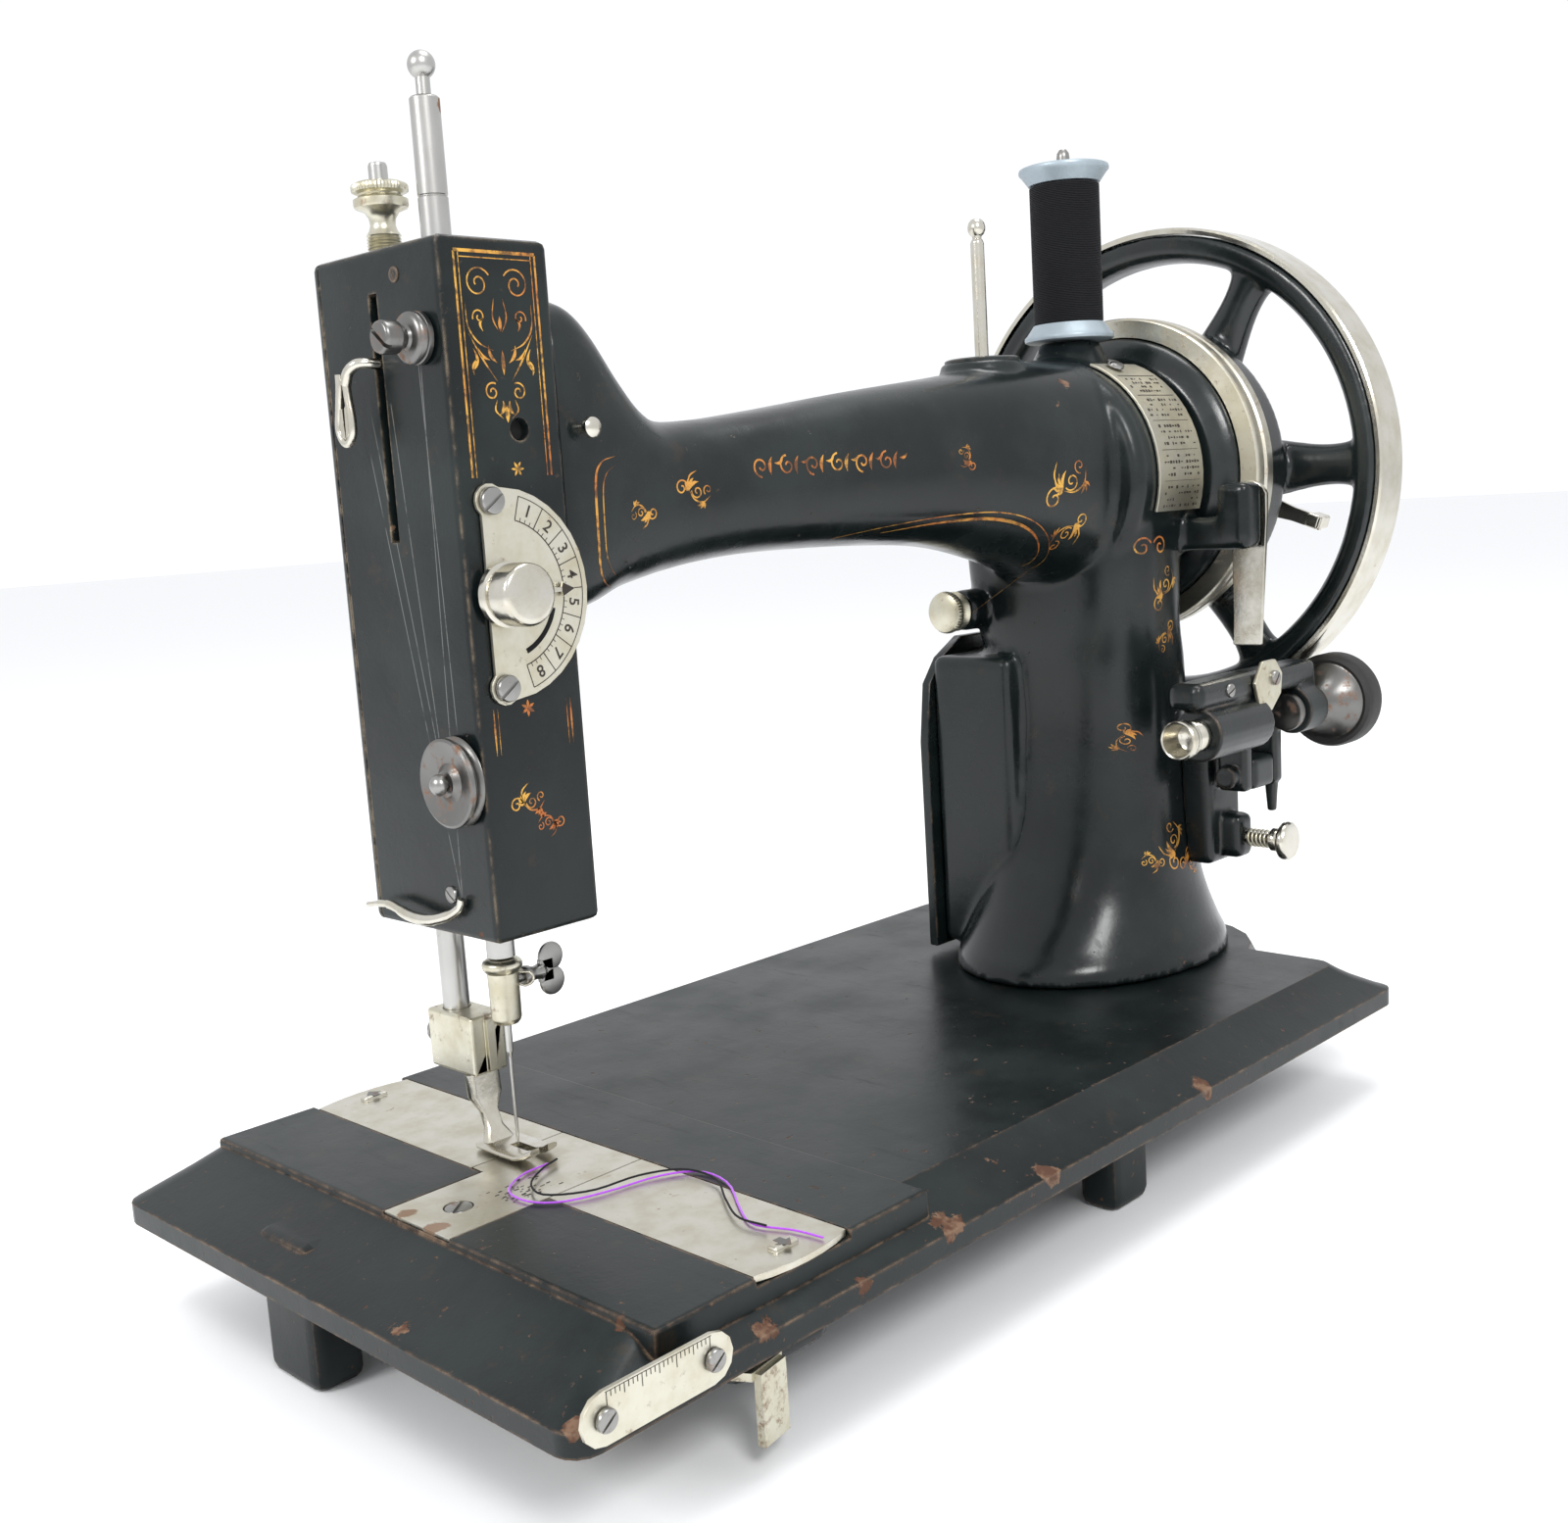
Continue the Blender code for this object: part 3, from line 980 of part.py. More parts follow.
def make_head_fittings():
    """The take-up, the check stud, the tension disc, the thread guide and the stitch dial."""
    half = HEAD_WIDTH / 2
    inner = -half + HEAD_WALL
    carrier = box_shape((inner + GAP, SLOT_Y - 0.0035, TAKE_UP_Z - 0.006),
                        (inner + 0.0050, SLOT_Y + 0.0060, TAKE_UP_Z + 0.006), 0.0006)
    build("take_up_carrier", "steel", carrier,
          cut=[rod_shape((-half, SLOT_Y, TAKE_UP_Z), (0, SLOT_Y, TAKE_UP_Z), STEM_RADIUS + RUNNING)])
    route = [(inner + 0.0040, SLOT_Y, TAKE_UP_Z), (-half, SLOT_Y, TAKE_UP_Z),
             (-half - 0.0030, SLOT_Y + 0.0003, TAKE_UP_Z + 0.0002),
             (-half - 0.0050, SLOT_Y + 0.0035, TAKE_UP_Z + 0.0002),
             (-half - 0.0056, SLOT_Y + 0.0062, TAKE_UP_Z - 0.0030),
             (-half - 0.0056, SLOT_Y + 0.0072, TAKE_UP_Z - 0.0080),
             (-half - 0.0056, SLOT_Y + 0.0074, TAKE_UP_Z - 0.0130)]
    lever = tube("take_up_lever", "nickel", smooth_path(route, 16), STEM_RADIUS)
    weld_curve(lever)
    lever = bpy.data.objects["take_up_lever"]
    eye = turned_shape([(0, -0.0007), (0.0026, -0.0007), (0.0026, 0.0007), (0, 0.0007)],
                       (-half - 0.0056, SLOT_Y + 0.0074, TAKE_UP_Z - 0.0150), X_AXIS, 16)
    boolean(lever, to_object("eye", eye), "UNION")
    clean(lever)
    own_material(lever, "nickel")

    stud = [(0, -0.0035), (TENSION_STUD, -0.0035), (TENSION_STUD, GAP), (0.0056, GAP), (0.0056, 0.0034),
            (0.0047, 0.0040), (0.0030, 0.0040), (0.0034, 0.0066), (0.0036, 0.0100), (0.0030, 0.0108),
            (0, 0.0108)]
    build("check_stud", "steel", turned_shape(stud, (-half, CHECK_Y, CHECK_Z), -X_AXIS),
          cut=[slot_cut((-half, CHECK_Y, CHECK_Z), -X_AXIS, Vector((0, 0.7, 0.714)), 0.0034, 0.0012,
                        0.0108)])
    stud = [(0, -0.0040), (TENSION_STUD, -0.0040), (TENSION_STUD, 0.0048), (0.0026, 0.0050)]
    stud += [(0.0026 * math.cos(math.radians(a)), 0.0056 + 0.0022 * math.sin(math.radians(a)))
             for a in (20, 45, 70)] + [(0, 0.0078)]
    build("tension_stud", "steel", turned_shape(stud, (-half, TENSION_Y, TENSION_Z), -X_AXIS, 16))
    bore = TENSION_STUD + RUNNING
    disc = [(bore, GAP), (0.0088, GAP), (0.0102, 0.0009), (0.0088, 0.0022), (0.0102, 0.0034),
            (0.0094, 0.0042), (0.0045, 0.0030), (0.0032, 0.0044), (bore, 0.0044)]
    disc = build("tension_disc", "steel", turned_shape(disc, (-half, TENSION_Y, TENSION_Z), -X_AXIS, 24))
    set_pivot(disc, (-half, TENSION_Y, TENSION_Z))
    out = -half - 0.0016
    guide = [(out + 0.0004, -0.0095, 0.0672), (out, -0.0085, 0.0650), (out - 0.0010, -0.0050, 0.0630),
             (out - 0.0022, 0.0010, 0.0615), (out - 0.0024, 0.0080, 0.0618), (out - 0.0018, 0.0160, 0.0632),
             (out - 0.0020, 0.0260, 0.0622)]
    tube("face_thread_guide", "nickel", smooth_path(guide, 16), 0.0011)
    make_dial()


def weld_curve(obj):
    """Turn a curve object into a mesh whose caps are merged with its wall."""
    name, world = obj.name, obj.matrix_world.copy()
    bpy.context.view_layer.update()
    evaluated = obj.evaluated_get(bpy.context.evaluated_depsgraph_get())
    mesh = bpy.data.meshes.new_from_object(evaluated)
    bpy.data.objects.remove(obj)
    shape = bmesh.new()
    shape.from_mesh(mesh)
    bmesh.ops.remove_doubles(shape, verts=shape.verts, dist=1e-6)
    shape.to_mesh(mesh)
    shape.free()
    solid = bpy.data.objects.new(name, mesh)
    solid.matrix_world = world
    place(solid, "nickel")


def make_dial():
    """The stitch dial: a half-round plate with two screws and a knob with a pointer."""
    front, thick = HEAD_FRONT - GAP, 0.0010
    outline = arc((DIAL_X, DIAL_Z), DIAL_RADIUS, -74, 74, 14)
    outline += arc((DIAL_SCREW_X, DIAL_Z + DIAL_SCREW_RISE), DIAL_EAR, 50, 230, 7)
    outline += arc((DIAL_SCREW_X, DIAL_Z - DIAL_SCREW_RISE), DIAL_EAR, 130, 310, 7)
    holes = [rod_shape((DIAL_X, 0, DIAL_Z), (DIAL_X, front - 0.01, DIAL_Z), DIAL_SPINDLE + RUNNING)]
    for rise in (-DIAL_SCREW_RISE, DIAL_SCREW_RISE):
        holes.append(rod_shape((DIAL_SCREW_X, 0, DIAL_Z + rise),
                               (DIAL_SCREW_X, front - 0.01, DIAL_Z + rise),
                               SCREW_SHANK + RUNNING))
    build("dial_plate", "nickel", plate_shape(outline, (0, front, 0), X_AXIS, Z_AXIS, thick),
          cut=holes)
    for name, rise in (("dial_screw_lower", -DIAL_SCREW_RISE), ("dial_screw_upper", DIAL_SCREW_RISE)):
        slotted_screw(name, (DIAL_SCREW_X, front - thick - GAP, DIAL_Z + rise), -Y_AXIS,
                      Vector((0.8, 0, 0.6)), 0.0030, 0.0013, SCREW_SHANK, 0.0040)
    knob = [(0, -0.0060), (DIAL_SPINDLE, -0.0060), (DIAL_SPINDLE, thick + 2 * GAP),
            (0.0072, thick + 2 * GAP),
            (0.0072, 0.0030), (0.0060, 0.0034), (0.0060, 0.0042), (0.0068, 0.0048), (0.0068, 0.0106),
            (0.0060, 0.0112), (0, 0.0112)]
    pointer = [(0.004, -0.0007), (0.0155, -0.0006), (0.0155, -0.0016), (0.0185, 0), (0.0155, 0.0016),
               (0.0155, 0.0006), (0.004, 0.0007)]
    needle = plate_shape(pointer, (DIAL_X, front - thick - GAP * 2, DIAL_Z), X_AXIS, Z_AXIS, 0.0009)
    knob = build("dial_knob", "nickel", turned_shape(knob, (DIAL_X, HEAD_FRONT, DIAL_Z), -Y_AXIS, 20),
                 joined=[needle])
    set_pivot(knob, (DIAL_X, HEAD_FRONT, DIAL_Z))


def make_needle_lever():
    """The rocking lever in the arm that lifts and drops the needle bar."""
    tip = NEEDLE_BAR_RADIUS + 0.0035
    hub = rod_shape((LEVER_PIVOT_X, LEVER_Y - 0.0045, LEVER_Z), (LEVER_PIVOT_X, LEVER_Y + 0.0045, LEVER_Z),
                    0.0065)
    bar = box_shape((tip, LEVER_Y - 0.0028, LEVER_Z - 0.003),
                    (LEVER_PIVOT_X, LEVER_Y + 0.0028, LEVER_Z + 0.003),
                    0.0006, 1)
    lever = build("needle_lever", "steel", bar, joined=[hub])
    set_pivot(lever, (LEVER_PIVOT_X, LEVER_Y, LEVER_Z))


# ---- bobbin winder ----------------------------------------------------------------------------
def winder_axis():
    """Where the winder's spindle lies, so that its wheel just bears on the hand wheel."""
    turn = math.radians(WINDER_ANGLE)
    reach = WHEEL_RADIUS + WINDER_WHEEL_RADIUS + WINDER_GAP
    return SHAFT_Y + reach * math.cos(turn), SHAFT_Z + reach * math.sin(turn)


def winder_pivot():
    """The hinge that the winder's frame tilts on."""
    y, z = winder_axis()
    return y + 0.0095, z - WINDER_PIVOT_DROP


def latch_bore():
    """The room that the latch plunger slides in, through the bracket and whatever is behind it."""
    pivot_y, _ = winder_pivot()
    return rod_shape((BRACKET_X, pivot_y - 0.01, LATCH_Z), (BRACKET_X, pivot_y + LATCH_REACH, LATCH_Z),
                     LATCH_ROD + RUNNING)


def make_winder():
    y, z = winder_axis()
    pivot_y, pivot_z = winder_pivot()
    make_winder_bracket(pivot_y, pivot_z)
    make_winder_frame(y, z, pivot_y, pivot_z)
    wheel_x = WHEEL_LEFT + WHEEL_WIDTH / 2
    spindle = 0.0030
    profile = [(0, 0.2440), (0.0056, 0.2440), (0.0058, 0.2450), (0.0058, 0.2468), (spindle, 0.2470),
               (spindle, 0.2600), (0.0040, 0.2606), (0.0115, wheel_x - 0.0052), (0.0128, wheel_x - 0.0050),
               (WINDER_WHEEL_RADIUS, wheel_x - 0.0032), (WINDER_WHEEL_RADIUS, wheel_x + 0.0032),
               (0.0128, wheel_x + 0.0050), (0.0115, wheel_x + 0.0045), (0.0040, wheel_x + 0.0040),
               (0.0030, wheel_x + 0.0070), (0, wheel_x + 0.0072)]
    wheel = build("winder_wheel", "rubber", turned_shape(profile, (0, y, z), X_AXIS, 20))
    set_pivot(wheel, (wheel_x, y, z))
    cup = [(0, -0.0110), (0.0046, -0.0105), (0.0056, -0.0095), (0.0056, -0.0072), (0.0042, -0.0060),
           (0.0046, -0.0040), (0.0046, -GAP), (0.0025, -GAP), (0.0025, 0.0330), (0.0010, 0.0350),
           (0, 0.0350)]
    cup = build("bobbin_cup", "nickel", turned_shape(cup, (WINDER_TUBE_LEFT, y, z), X_AXIS, 24))
    set_pivot(cup, (WINDER_TUBE_LEFT, y, z))
    make_latch()


def make_winder_bracket(pivot_y, pivot_z):
    """The black bracket on the column that carries the winder and its latch."""
    column_front = SHAFT_Y - 0.0250
    pad = box_shape((BRACKET_X - 0.010, pivot_y + 0.0085, LATCH_Z - 0.008),
                    (BRACKET_X + 0.009, column_front, pivot_z + 0.006), 0.002)
    ear = box_shape((BRACKET_X - BRACKET_HALF, pivot_y - 0.005, pivot_z - 0.005),
                    (BRACKET_X + BRACKET_HALF, pivot_y + 0.012, pivot_z + 0.005), 0.0018)
    leg = box_shape((BRACKET_X - 0.0045, pivot_y + 0.0015, LATCH_Z - 0.0065),
                    (BRACKET_X + 0.0045, pivot_y + 0.012, LATCH_Z + 0.0075), 0.0025)
    bracket = build("winder_bracket", "japan", pad, joined=[ear, leg],
                    cut=[rod_shape((BRACKET_X - 0.02, pivot_y, pivot_z),
                                   (BRACKET_X + 0.02, pivot_y, pivot_z),
                                   WINDER_PIN + RUNNING),
                         latch_bore()])
    trim = bpy.data.objects["arm_column"].copy()
    trim.data = trim.data.copy()
    cutters.objects.link(trim)
    grow = bmesh.new()
    grow.from_mesh(trim.data)
    for vert in grow.verts:
        vert.co += vert.normal * GAP
    grow.to_mesh(trim.data)
    grow.free()
    boolean(bracket, trim, "DIFFERENCE")
    clean(bracket)
    own_material(bracket, "japan")


def make_winder_frame(y, z, pivot_y, pivot_z):
    """The tilting frame: bobbin tube, spindle bearing, crossbar, ears, pin and release arm."""
    bore = 0.0030 + RUNNING
    tube_solid = rod_shape((WINDER_TUBE_LEFT, y, z), (WINDER_TUBE_RIGHT, y, z), 0.0078, segments=24)
    bearing = rod_shape((0.2480, y, z), (0.2590, y, z), 0.0072, segments=24)
    crossbar = box_shape((WINDER_TUBE_LEFT - 0.004, y - 0.0035, z + 0.0072),
                         (0.2590, y + 0.0075, z + 0.0150), 0.0024)
    neck_left = box_shape((WINDER_TUBE_RIGHT - 0.014, y - 0.003, z),
                          (WINDER_TUBE_RIGHT, y + 0.005, z + 0.0100),
                          0.001)
    neck_right = box_shape((0.2480, y - 0.003, z), (0.2590, y + 0.005, z + 0.0100), 0.001)
    side_left = box_shape((BRACKET_X - BRACKET_HALF - 0.0052, pivot_y - 0.0048, pivot_z - 0.0048),
                          (BRACKET_X - BRACKET_HALF - GAP, pivot_y + 0.0048, z + 0.0125), 0.0012)
    side_right = box_shape((BRACKET_X + BRACKET_HALF + GAP, pivot_y - 0.0048, pivot_z - 0.0048),
                           (BRACKET_X + BRACKET_HALF + 0.0052, pivot_y + 0.0048, z + 0.0125), 0.0012)
    pin = rod_shape((BRACKET_X - BRACKET_HALF - 0.008, pivot_y, pivot_z),
                    (BRACKET_X + BRACKET_HALF + 0.007, pivot_y, pivot_z), WINDER_PIN)
    finger = loft_shape([[(BRACKET_X + BRACKET_HALF + 0.0028 + a, pivot_y - 0.002 + b, level)
                          for a, b in oval(wide, wide, 3, 12)]
                         for level, wide in ((pivot_z - 0.0140, 0.0013), (pivot_z - 0.001, 0.0022))])
    knob = rod_shape((BRACKET_X - BRACKET_HALF - 0.0090, pivot_y, pivot_z),
                     (BRACKET_X - BRACKET_HALF - 0.0040, pivot_y, pivot_z), 0.0034, segments=16)
    frame = build("winder_frame", "japan", crossbar,
                  joined=[tube_solid, bearing, neck_left, neck_right, side_left, side_right, pin, finger,
                          knob],
                  cut=[rod_shape((WINDER_TUBE_LEFT - 0.002, y, z), (WINDER_TUBE_RIGHT + 0.002, y, z),
                                 0.0025 + RUNNING),
                       rod_shape((0.2460, y, z), (0.2620, y, z), bore)])
    set_pivot(frame, (BRACKET_X, pivot_y, pivot_z))


def make_latch():
    """The sprung latch plunger under the winder."""
    pivot_y, _ = winder_pivot()
    front = pivot_y + 0.0015
    plunger = [(0, -0.0105), (LATCH_ROD, -0.0105), (LATCH_ROD, 0.0085), (0.0036, 0.0085),
               (0.0036, 0.0105), (0.0030, 0.0112), (0.0058, 0.0124), (0.0060, 0.0140), (0.0052, 0.0148),
               (0, 0.0150)]
    plunger = build("latch_plunger", "nickel", turned_shape(plunger, (BRACKET_X, front, LATCH_Z), -Y_AXIS))
    set_pivot(plunger, (BRACKET_X, front, LATCH_Z))


def make_strap():
    """The nickel strap between the arm's lug and the winder, and its screw."""
    left = STRAP_X + 0.0052 + GAP
    _, z = winder_axis()
    low = z + 0.0150 + 0.0060
    outline = arc((STRAP_Y, STRAP_Z), 0.0062, 20, 160, 8)
    outline += [(STRAP_Y - 0.0058, STRAP_Z - 0.004), (STRAP_Y - 0.0036, low + 0.008),
                (STRAP_Y - 0.0030, low), (STRAP_Y + 0.0062, low), (STRAP_Y + 0.0058, low + 0.008),
                (STRAP_Y + 0.0058, STRAP_Z - 0.004)]
    build("winder_strap", "nickel", plate_shape(outline, (left, 0, 0), Y_AXIS, Z_AXIS, 0.0018),
          cut=[rod_shape((left - 0.01, STRAP_Y, STRAP_Z), (left + 0.01, STRAP_Y, STRAP_Z),
                         0.0020 + RUNNING)])
    stud = [(0, -0.0125), (0.0020, -0.0125), (0.0020, 0), (0.0042, 0), (0.0042, 0.0012), (0.0030, 0.0014),
            (0.0030, 0.0030), (0.0022, 0.0034), (0, 0.0034)]
    build("strap_screw", "steel", turned_shape(stud, (left + 0.0018 + GAP, STRAP_Y, STRAP_Z), X_AXIS, 16))


# ---- threads ----------------------------------------------------------------------------------


def make_threads():
    """The two thread ends that trail from the needle over the plates."""
    for name, kind, route, lift in (("purple_thread", "purple", PURPLE_ROUTE, 0.0),
                                    ("black_thread", "black", BLACK_ROUTE, 3 * THREAD_RADIUS)):
        points = [(x, y, THREAD_RADIUS + GAP + lift) for x, y in route]
        tube(name, kind, smooth_path(points, 44), THREAD_RADIUS, 2)


# ---- assembly ---------------------------------------------------------------------------------
def stand_on_floor():
    """Centre the machine over the world origin, standing on its feet."""
    bpy.context.view_layer.update()
    graph = bpy.context.evaluated_depsgraph_get()
    lows, highs = [], []
    for obj in parts.objects:
        if obj.name in ("purple_thread", "black_thread"):
            continue
        evaluated = obj.evaluated_get(graph)
        points = [evaluated.matrix_world @ vert.co for vert in evaluated.to_mesh().vertices]
        lows.append([min(point[axis] for point in points) for axis in range(3)])
        highs.append([max(point[axis] for point in points) for axis in range(3)])
        evaluated.to_mesh_clear()
    low = [min(column) for column in zip(*lows)]
    high = [max(column) for column in zip(*highs)]
    origin.location = (-(low[0] + high[0]) / 2, -(low[1] + high[1]) / 2, -low[2])
    bpy.context.view_layer.update()


def main():
    bpy.context.scene.collection.children.link(parts)
    bpy.context.scene.collection.children.link(cutters)
    bpy.context.scene.collection.objects.link(origin)
    make_bed()
    make_plates()
    make_ruler()
    make_race()
    make_shuttle()
    make_bed_lever()
    make_arm()
    make_arm_fittings()
    make_shaft()
    make_wheel()
    make_head()
    make_needle_bar()
    make_presser()
    make_lifter()
    make_head_fittings()
    make_needle_lever()
    make_winder()
    make_strap()
    make_threads()
    stand_on_floor()


main()
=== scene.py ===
"""Looks of the antique sewing machine head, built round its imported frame."""
import json
import math
from random import Random

import bmesh
import bpy
from mathutils import Matrix, Vector
from mathutils.bvhtree import BVHTree

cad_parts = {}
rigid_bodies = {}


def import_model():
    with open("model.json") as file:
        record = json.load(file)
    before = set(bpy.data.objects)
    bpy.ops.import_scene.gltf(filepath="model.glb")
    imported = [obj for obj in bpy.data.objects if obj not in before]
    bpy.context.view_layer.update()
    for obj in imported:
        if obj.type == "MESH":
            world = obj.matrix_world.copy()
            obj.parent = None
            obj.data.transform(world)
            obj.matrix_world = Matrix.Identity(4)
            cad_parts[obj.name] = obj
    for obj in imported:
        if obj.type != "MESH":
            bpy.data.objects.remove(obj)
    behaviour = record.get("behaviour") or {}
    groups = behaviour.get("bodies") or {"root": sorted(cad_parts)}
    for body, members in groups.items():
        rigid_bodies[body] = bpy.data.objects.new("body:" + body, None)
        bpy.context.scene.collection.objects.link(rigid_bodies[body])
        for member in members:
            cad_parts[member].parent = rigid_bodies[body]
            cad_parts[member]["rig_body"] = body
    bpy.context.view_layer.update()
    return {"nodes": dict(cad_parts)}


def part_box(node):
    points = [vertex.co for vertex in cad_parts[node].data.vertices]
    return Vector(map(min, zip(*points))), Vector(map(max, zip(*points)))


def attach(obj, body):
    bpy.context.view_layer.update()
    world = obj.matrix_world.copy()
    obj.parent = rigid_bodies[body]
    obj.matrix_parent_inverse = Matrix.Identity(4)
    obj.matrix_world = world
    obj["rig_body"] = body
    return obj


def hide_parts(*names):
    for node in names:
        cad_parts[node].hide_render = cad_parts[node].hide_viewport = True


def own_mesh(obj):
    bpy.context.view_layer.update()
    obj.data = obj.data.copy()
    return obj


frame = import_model()
NODES = frame["nodes"]
MM = 0.001
X, Y, Z = Vector((1, 0, 0)), Vector((0, 1, 0)), Vector((0, 0, 1))

# ---- places, in millimetres from the needle hole on top of the needle plate --------------------
needle_low, needle_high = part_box("needle")
HOLE = Vector(((needle_low.x + needle_high.x) / 2, (needle_low.y + needle_high.y) / 2,
               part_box("needle_plate")[1].z))
SHAFT_Y, SHAFT_Z = -13.7, 151.4
DRUM_RADIUS, DRUM_LEFT, DRUM_RIGHT = 36.0, 203.0, 239.0
COLUMN_X, SPOOL_X = 225.0, 222.5
SPOOL_SEAT = SHAFT_Z + DRUM_RADIUS + 6.2
HEAD_LEFT, HEAD_FRONT, HEAD_TOP = -14.8, -20.2, 210.5
DIAL_X, DIAL_Z = -6.0, 134.5
WHEEL_LEFT, WHEEL_WIDTH, WHEEL_RADIUS = 268.4, 15.5, 79.0
PULLEY_LEFT = 241.7
WINDER_Y, WINDER_Z = -72.4, 77.6
PIVOT_Y, PIVOT_Z = -62.9, 59.6
BRACKET_X = 240.0
THREAD_RADIUS = 0.25
REAR_KNOB = (COLUMN_X - 31, 12, 113)
PIN_X, PIN_Y = 180, -12
SPRING_TURNS, SPRING_STEPS = 13, 14
LATCH_TURNS, LATCH_STEPS = 5, 16
SPIRAL_STEPS = 30
LATCH_Z = 38.5
STUD_Y, STUD_Z = -12.1, 189.8
DISC_Y, DISC_Z = -11.6, 94.1


def at(x, y, z):
    """A point of the machine, in metres in the frame."""
    return HOLE + Vector((x, y, z)) * MM


# ---- camera --------------------
def make_camera():
    """The camera, low at the front left of the machine."""
    data = bpy.data.cameras.new("camera")
    data.sensor_width = 36.0
    data.lens = 38.99
    data.clip_start = 0.01
    camera = linked("camera", data)
    camera.location = at(-229.08, -323.65, 151.37)
    camera.rotation_euler = [math.radians(turn) for turn in (81.2014, 3.5452, -45.9421)]
    bpy.context.scene.camera = camera


# ---- shader wiring --------------------
class Wire:
    """A shader socket that takes Python's own operators."""

    def __init__(self, finish, socket):
        self.finish, self.socket = finish, socket

    def maths(self, operation, *values):
        return self.finish.node("ShaderNodeMath", {"operation": operation}, *values)

    def __add__(self, other):
        return self.maths("ADD", self, other)

    def __sub__(self, other):
        return self.maths("SUBTRACT", self, other)

    def __rsub__(self, other):
        return self.maths("SUBTRACT", other, self)

    def __mul__(self, other):
        return self.maths("MULTIPLY", self, other)

    def __or__(self, other):
        return self.maths("MAXIMUM", self, other)

    __radd__, __rmul__ = __add__, __mul__


class Finish:
    """A material and the few ways this script wires one."""

    def __init__(self, name):
        self.material = bpy.data.materials.new(name)
        self.material.use_nodes = True
        self.tree = self.material.node_tree
        self.shader = self.tree.nodes["Principled BSDF"]
        self.place = self.node("ShaderNodeTexCoord", {}, output="Object")

    def node(self, kind, settings, *values, output=0, **named):
        made = self.tree.nodes.new(kind)
        for key, value in settings.items():
            setattr(made, key, value)
        for key, value in list(enumerate(values)) + [(k.replace("_", " "), v) for k, v in named.items()]:
            self.feed(made.inputs[key], value)
        return Wire(self, made.outputs[output])

    def feed(self, socket, value):
        if isinstance(value, Wire):
            self.tree.links.new(value.socket, socket)
        elif value is not None:
            socket.default_value = value

    def noise(self, scale, detail=3.0, roughness=0.55, stretch=None, distortion=0.0):
        place = self.place if stretch is None else self.node(
            "ShaderNodeVectorMath", {"operation": "MULTIPLY"}, self.place, stretch)
        return self.node("ShaderNodeTexNoise", {}, Vector=place, Scale=scale, Detail=detail,
                         Roughness=roughness, Distortion=distortion)

    def step(self, value, low, high):
        """0 below low, 1 above high and smooth between."""
        return self.node("ShaderNodeMapRange", {"interpolation_type": "SMOOTHSTEP"}, value, low, high,
                         0.0, 1.0)

    def mix(self, share, first, second):
        mixed = self.tree.nodes.new("ShaderNodeMix")
        mixed.data_type = "RGBA"
        for index, value in ((0, share), (6, first), (7, second)):
            self.feed(mixed.inputs[index], value)
        return Wire(self, mixed.outputs[2])

    def spot(self, point, reach):
        """1 at a point of the machine, falling to 0 at its reach in millimetres."""
        gap = self.node("ShaderNodeVectorMath", {"operation": "DISTANCE"}, self.place, at(*point),
                        output=1)
        return 1 - self.step(gap, reach * MM * 0.15, reach * MM)

    def spots(self, *places):
        total = self.spot(*places[0])
        for place in places[1:]:
            total = total | self.spot(*place)
        return total

    def scratch(self, low, high):
        """1 along a fine line on the head's end face, between two (y, z) points."""
        split = self.tree.nodes.new("ShaderNodeSeparateXYZ")
        self.feed(split.inputs[0], self.place)
        across, deep, up = [Wire(self, split.outputs[axis]) for axis in range(3)]
        start, end = at(HEAD_LEFT, *low), at(HEAD_LEFT, *high)
        slope = (end.y - start.y) / (end.z - start.z)
        off = (deep - start.y) - (up - start.z) * slope
        near = 1 - self.step(off | (0 - off), 0.00008, 0.00022)
        face = 1 - self.step(across, start.x + 0.0002, start.x + 0.0004)
        return near * face * self.step(up, end.z, end.z + 0.004) * (1 - self.step(up, start.z - 0.004,
                start.z))

    def edges(self, radius):
        """1 on the outer edges of a piece, where finish wears."""
        eased = self.node("ShaderNodeBevel", {"samples": 4}, radius)
        flat = self.node("ShaderNodeNewGeometry", {}, output="Normal")
        facing = self.node("ShaderNodeVectorMath", {"operation": "DOT_PRODUCT"}, eased, flat, output=1)
        return self.step(1 - facing, 0.015, 0.12)

    def bump(self, height, distance, strength=1.0):
        return self.node("ShaderNodeBump", {}, Strength=strength, Distance=distance, Height=height)

    def done(self, colour, roughness, metallic=0.0, normal=None, specular=0.5):
        for name, value in (("Base Color", colour), ("Roughness", roughness), ("Metallic", metallic),
                            ("Normal", normal), ("Specular IOR Level", specular)):
            if value is not None:
                self.feed(self.shader.inputs[name], value)
        return self.material


def tint(red, green, blue):
    return (red, green, blue, 1.0)


RUST = tint(0.070, 0.030, 0.016)
PAINT = tint(0.0036, 0.0060, 0.0064)


